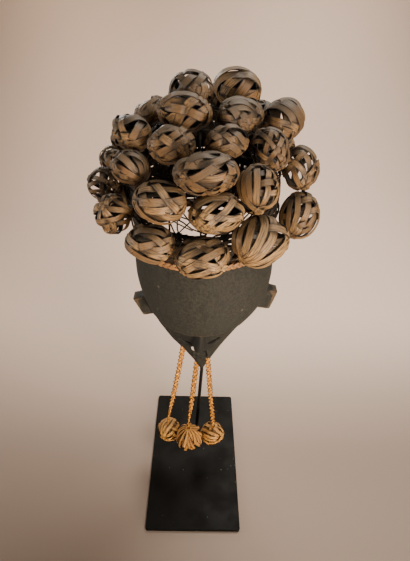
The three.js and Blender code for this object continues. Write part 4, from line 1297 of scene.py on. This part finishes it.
def wornMask():
    body = carvedMask()
    mesh = body.data
    rows = readRows(mesh.vertices, "co").astype(float)
    normals = readRows(mesh.vertex_normals, "vector")
    wear = edgeWear(mesh, rows, normals)
    shifts = np.array([woodLooks["swell"] * noise.noise(Vector(row) / 34)
                       + woodLooks["dents"] * noise.noise(Vector((row[0] / 9, row[1] / 9, row[2] / 14)))
                       + woodLooks["grain"] * noise.noise(Vector((row[0] / 2.2, row[1] / 2.2, row[2] / 9)))
                       for row in rows])
    finished = moved(rows + normals * shifts[:, None], headMatrix) * mm
    mesh.vertices.foreach_set("co", finished.astype(np.float32).ravel())
    mesh.update()
    aside, height = np.abs(rows[:, 0]), rows[:, 2]
    onEar = np.clip((aside - 93) / 6, 0, 1) * (height < 40)
    worn = np.clip(wear * woodLooks["wear"], 0, 1) * np.clip((height + 45) / 60, 0.12, 0.6)
    worn += woodLooks["earWear"] * onEar
    # Painted shadow: darkening round the left eye socket, below the brow
    fromSocket = (rows - np.array(woodLooks["socket"])) / np.array(woodLooks["socketReach"])
    socketShadow = np.clip(woodLooks["shadowEdge"] - np.linalg.norm(fromSocket, axis=1), 0, 1)
    socketShadow = woodLooks["soot"] * socketShadow * (height < mask["browUnderside"])
    writeVectors(mesh, "place", rows)
    writeVectors(mesh, "marks", np.column_stack([worn, socketShadow, worn * 0]))
    mesh.shade_smooth()
    body.name = "carved_mask"
    print("mask faces:", len(mesh.polygons))
    return dress(body, woodMaterial(), "mask_wood", "mask")


wornMask()
print("mask carved")


# Stand: plate with eased edges, and the rod with its cradle

plate = {"width": 155, "depth": 280, "thickness": 6, "corner": 4, "ease": 0.7, "cornerSteps": 6}
rod = {"diameter": 6, "foot": (1.8, 30.7), "lean": 2.1, "sides": 28, "cradleHeight": 92, "sideAngle": 78,
       "padRadius": 7, "padThickness": 3, "padGap": 1.5, "padCaps": 0.6, "knob": 4.8, "knobCaps": 2.2,
       "gap": 0.3}
paints = {
    "plate": {"base": (0.0042, 0.0038, 0.003, 1), "roughness": 0.58, "film": 0.012, "fleckScale": 0.16,
              "fleckSize": 0.085},
    "rod": {"base": (0.009, 0.008, 0.008, 1), "roughness": 0.42, "film": 0.03, "fleckScale": 0.2,
            "fleckSize": 0.05},
    "dust": (0.30, 0.26, 0.22, 1),
}


def paintMaterial(name):
    looks = paints[name]
    material, tree, surface = newMaterial(f"{name}Paint", 0.13, looks["roughness"])
    place = attribute(tree, "place")
    values = {"Place": place, "Fleck Scale": looks["fleckScale"], "Fleck Size": looks["fleckSize"],
              "Film": looks["film"]}
    dusty = useGroup(tree, dust, values)["Mask"]
    tree.links.new(mixColours(tree, dusty, looks["base"], paints["dust"]), surface["Base Color"])
    smear = addNoise(tree, place, 0.03, 6.0)
    rough = spread(tree, smear, 0.35, 0.7, looks["roughness"] - 0.08, looks["roughness"] + 0.14)
    tree.links.new(rough, surface["Roughness"])
    useBump(tree, surface, addNoise(tree, place, 1.6, 3.0), 0.12, 0.0002)
    return material


def basePlate():
    corner, ease, top = plate["corner"], plate["ease"], plate["thickness"]
    outline = []
    for k, (sx, sy) in enumerate(((1, 1), (-1, 1), (-1, -1), (1, -1))):
        for step in range(plate["cornerSteps"] + 1):
            turn = math.pi / 2 * (k + step / plate["cornerSteps"])
            outline.append((sx * (plate["width"] / 2 - corner) + corner * math.cos(turn),
                            sy * (plate["depth"] / 2 - corner) + corner * math.sin(turn)))
    outline = np.array(outline)
    middle = np.array([plate["width"] / 2, plate["depth"] / 2])
    rings = []
    for z, inset in ((0, ease), (ease * 0.3, ease * 0.3), (ease, 0), (top - ease, 0),
                     (top - ease * 0.3, ease * 0.3), (top, ease)):
        rings.append(np.column_stack([outline * (1 - inset / middle), np.full(len(outline), z)]))
    gather = Gather()
    gather.add(*loft(rings))
    piece = gather.build("painted_plate", paintMaterial("plate"), "plate_paint", "base_plate")
    piece.data.shade_flat()
    return piece


# Round bar from start to end, with its ends eased where caps are given
def addBar(gather, start, end, width, caps=0.0):
    heading = unit(end - start)
    across = unit(np.cross(heading, [0.2, 1, 0.1]))
    length = np.linalg.norm(end - start)
    stops = [0, caps, length - caps, length] if caps else [0, length]
    narrow = 1 - caps / width * 2
    scale = np.interp(stops, [0, caps, length - caps, length], [narrow, 1, 1, narrow])
    line = np.array([start + heading * stop for stop in stops])
    section = roundSection(width, width, rod["sides"])[None] * scale[:, None, None]
    spokes = (np.broadcast_to(row, line.shape) for row in (across, np.cross(across, heading)))
    gather.add(*sweep(line, *spokes, section))


def standRod():
    foot = np.array([*rod["foot"], plate["thickness"] + rod["gap"]])
    height = rod["cradleHeight"]
    rise = head["origin"][2] + height - foot[2]
    top = foot + np.array([rise * math.tan(math.radians(rod["lean"])), 0, rise])
    gather = Gather()
    addBar(gather, foot, top, rod["diameter"])
    hub = np.array(headMatrix.inverted() @ Vector(top))
    depth = valueAt("forehead", height)
    aside, ahead = (facePoint(height, angle, depth, mask["wall"]) for angle in (rod["sideAngle"], 0))
    for x, y in ((-aside[0], aside[1]), (aside[0], aside[1]), (0, ahead[1])):
        outward = unit(np.array([x, y, 0.0]))
        touch = np.array([x, y, hub[2]]) - outward * rod["padGap"]
        centre, back, front = moved(np.array([hub, touch - outward * rod["padThickness"], touch]), headMatrix)
        addBar(gather, centre, back, rod["diameter"])
        addBar(gather, back, front, 2 * rod["padRadius"], rod["padCaps"])
    addBar(gather, top - up * rod["knob"], top + up * rod["knob"], 2 * rod["knob"], rod["knobCaps"])
    return gather.build("painted_rod", paintMaterial("rod"), "rod_paint", "stand_rod")


basePlate()
standRod()
print("stand painted")


# Stage and light

# The backdrop is painted darker near the camera and at the far left: painted shade and a painted pool of
# light
stage = {"light": (0.90, 0.69, 0.56, 1), "paintedShade": (0.41, 0.31, 0.248, 1), "gradeNear": -0.02, "gradeFar": 0.46,
         "near": -3.0, "bend": 0.9, "radius": 0.9, "bendSteps": 12, "top": 3.4, "half": 4.0,
         "fadeFrom": -1.3, "fadeTo": -0.55, "cornerShade": 0.5}
lights = {
    "side": {"place": (0.7, -1.0, 0.35), "target": (0, 0, 0.42), "size": 0.5, "spread": 40, "power": 3.7,
             "color": (1, 0.84, 0.66)},
    "low": {"place": (0, -1.0, 0.1), "target": (0, 0, 0.45), "size": 0.5, "spread": 46, "power": 1.8,
            "color": (1, 0.8, 0.56)},
    "left": {"place": (-1.2, 0, 0.6), "target": (0, 0, 0.45), "size": 0.5, "spread": 40, "power": 1.2,
             "color": (1, 0.93, 0.82)},
    "over": {"place": (0.5, -0.8, 1.4), "target": (0, 0, 0.45), "size": 0.5, "spread": 52, "power": 1.0,
             "color": (1, 0.93, 0.84)},
    "rear": {"place": (-0.5, 1.3, 0.8), "target": (0, 0.1, 0.5), "size": 0.5, "spread": 30, "power": 0.8,
             "color": (1, 0.95, 0.88)},
    "pool": {"place": (0.45, 0.65, 1.6), "target": (0.3, 0.5, 0), "size": 0.8, "spread": 126, "power": 16.8,
             "color": (1, 0.95, 0.87)},
    "back": {"place": (0.6, 1.0, 1.2), "target": (0.3, 1.8, 0.6), "size": 0.8, "spread": 130, "power": 3.6,
             "color": (1, 0.93, 0.84)},
}
worldLooks = {"color": (1, 0.94, 0.88, 1), "strength": 0.08}


def sweepStage():
    profile = [(stage["near"], 0)]
    for step in range(stage["bendSteps"] + 1):
        turn = math.pi / 2 * step / stage["bendSteps"]
        profile.append((stage["bend"] + stage["radius"] * math.sin(turn),
                        stage["radius"] * (1 - math.cos(turn))))
    profile.append((stage["bend"] + stage["radius"], stage["top"]))
    points = [(x, y, z) for y, z in profile for x in (-stage["half"], stage["half"])]
    faces = [(2 * i, 2 * i + 1, 2 * i + 3, 2 * i + 2) for i in range(len(profile) - 1)]
    mesh = bpy.data.meshes.new("backdrop")
    mesh.from_pydata(points, [], faces)
    mesh.shade_smooth()
    backdrop = addObject("backdrop", mesh)
    material, tree, surface = newMaterial("backdropPaper", 0.1, 0.9)
    axes = splitVector(tree, addNode(tree, "ShaderNodeTexCoord").outputs["Object"])
    # Painted light and shade: darker on the near floor, lighter further back, darker again towards the left
    grade = spread(tree, axes["Y"], stage["gradeNear"], stage["gradeFar"])
    cornerShade = spread(tree, axes["X"], stage["fadeFrom"], stage["fadeTo"], stage["cornerShade"], 0.0)
    colour = mixColours(tree, grade, stage["paintedShade"], stage["light"])
    tree.links.new(mixColours(tree, cornerShade, colour, stage["paintedShade"]), surface["Base Color"])
    mesh.materials.append(material)


def addLight(name, looks):
    data = bpy.data.lights.new(name, "AREA")
    data.size = looks["size"]
    data.energy = looks["power"]
    data.color = looks["color"]
    data.spread = math.radians(looks["spread"])
    light = addObject(name, data)
    light.location = looks["place"]
    aim = Vector(looks["target"]) - Vector(looks["place"])
    light.rotation_euler = aim.to_track_quat("-Z", "Y").to_euler()


sweepStage()
for name, looks in lights.items():
    addLight(name, looks)
world = bpy.data.worlds.new("studio")
bpy.context.scene.world = world
world.use_nodes = True
background = world.node_tree.nodes["Background"].inputs
background["Color"].default_value = worldLooks["color"]
background["Strength"].default_value = worldLooks["strength"]
print("stage lit")
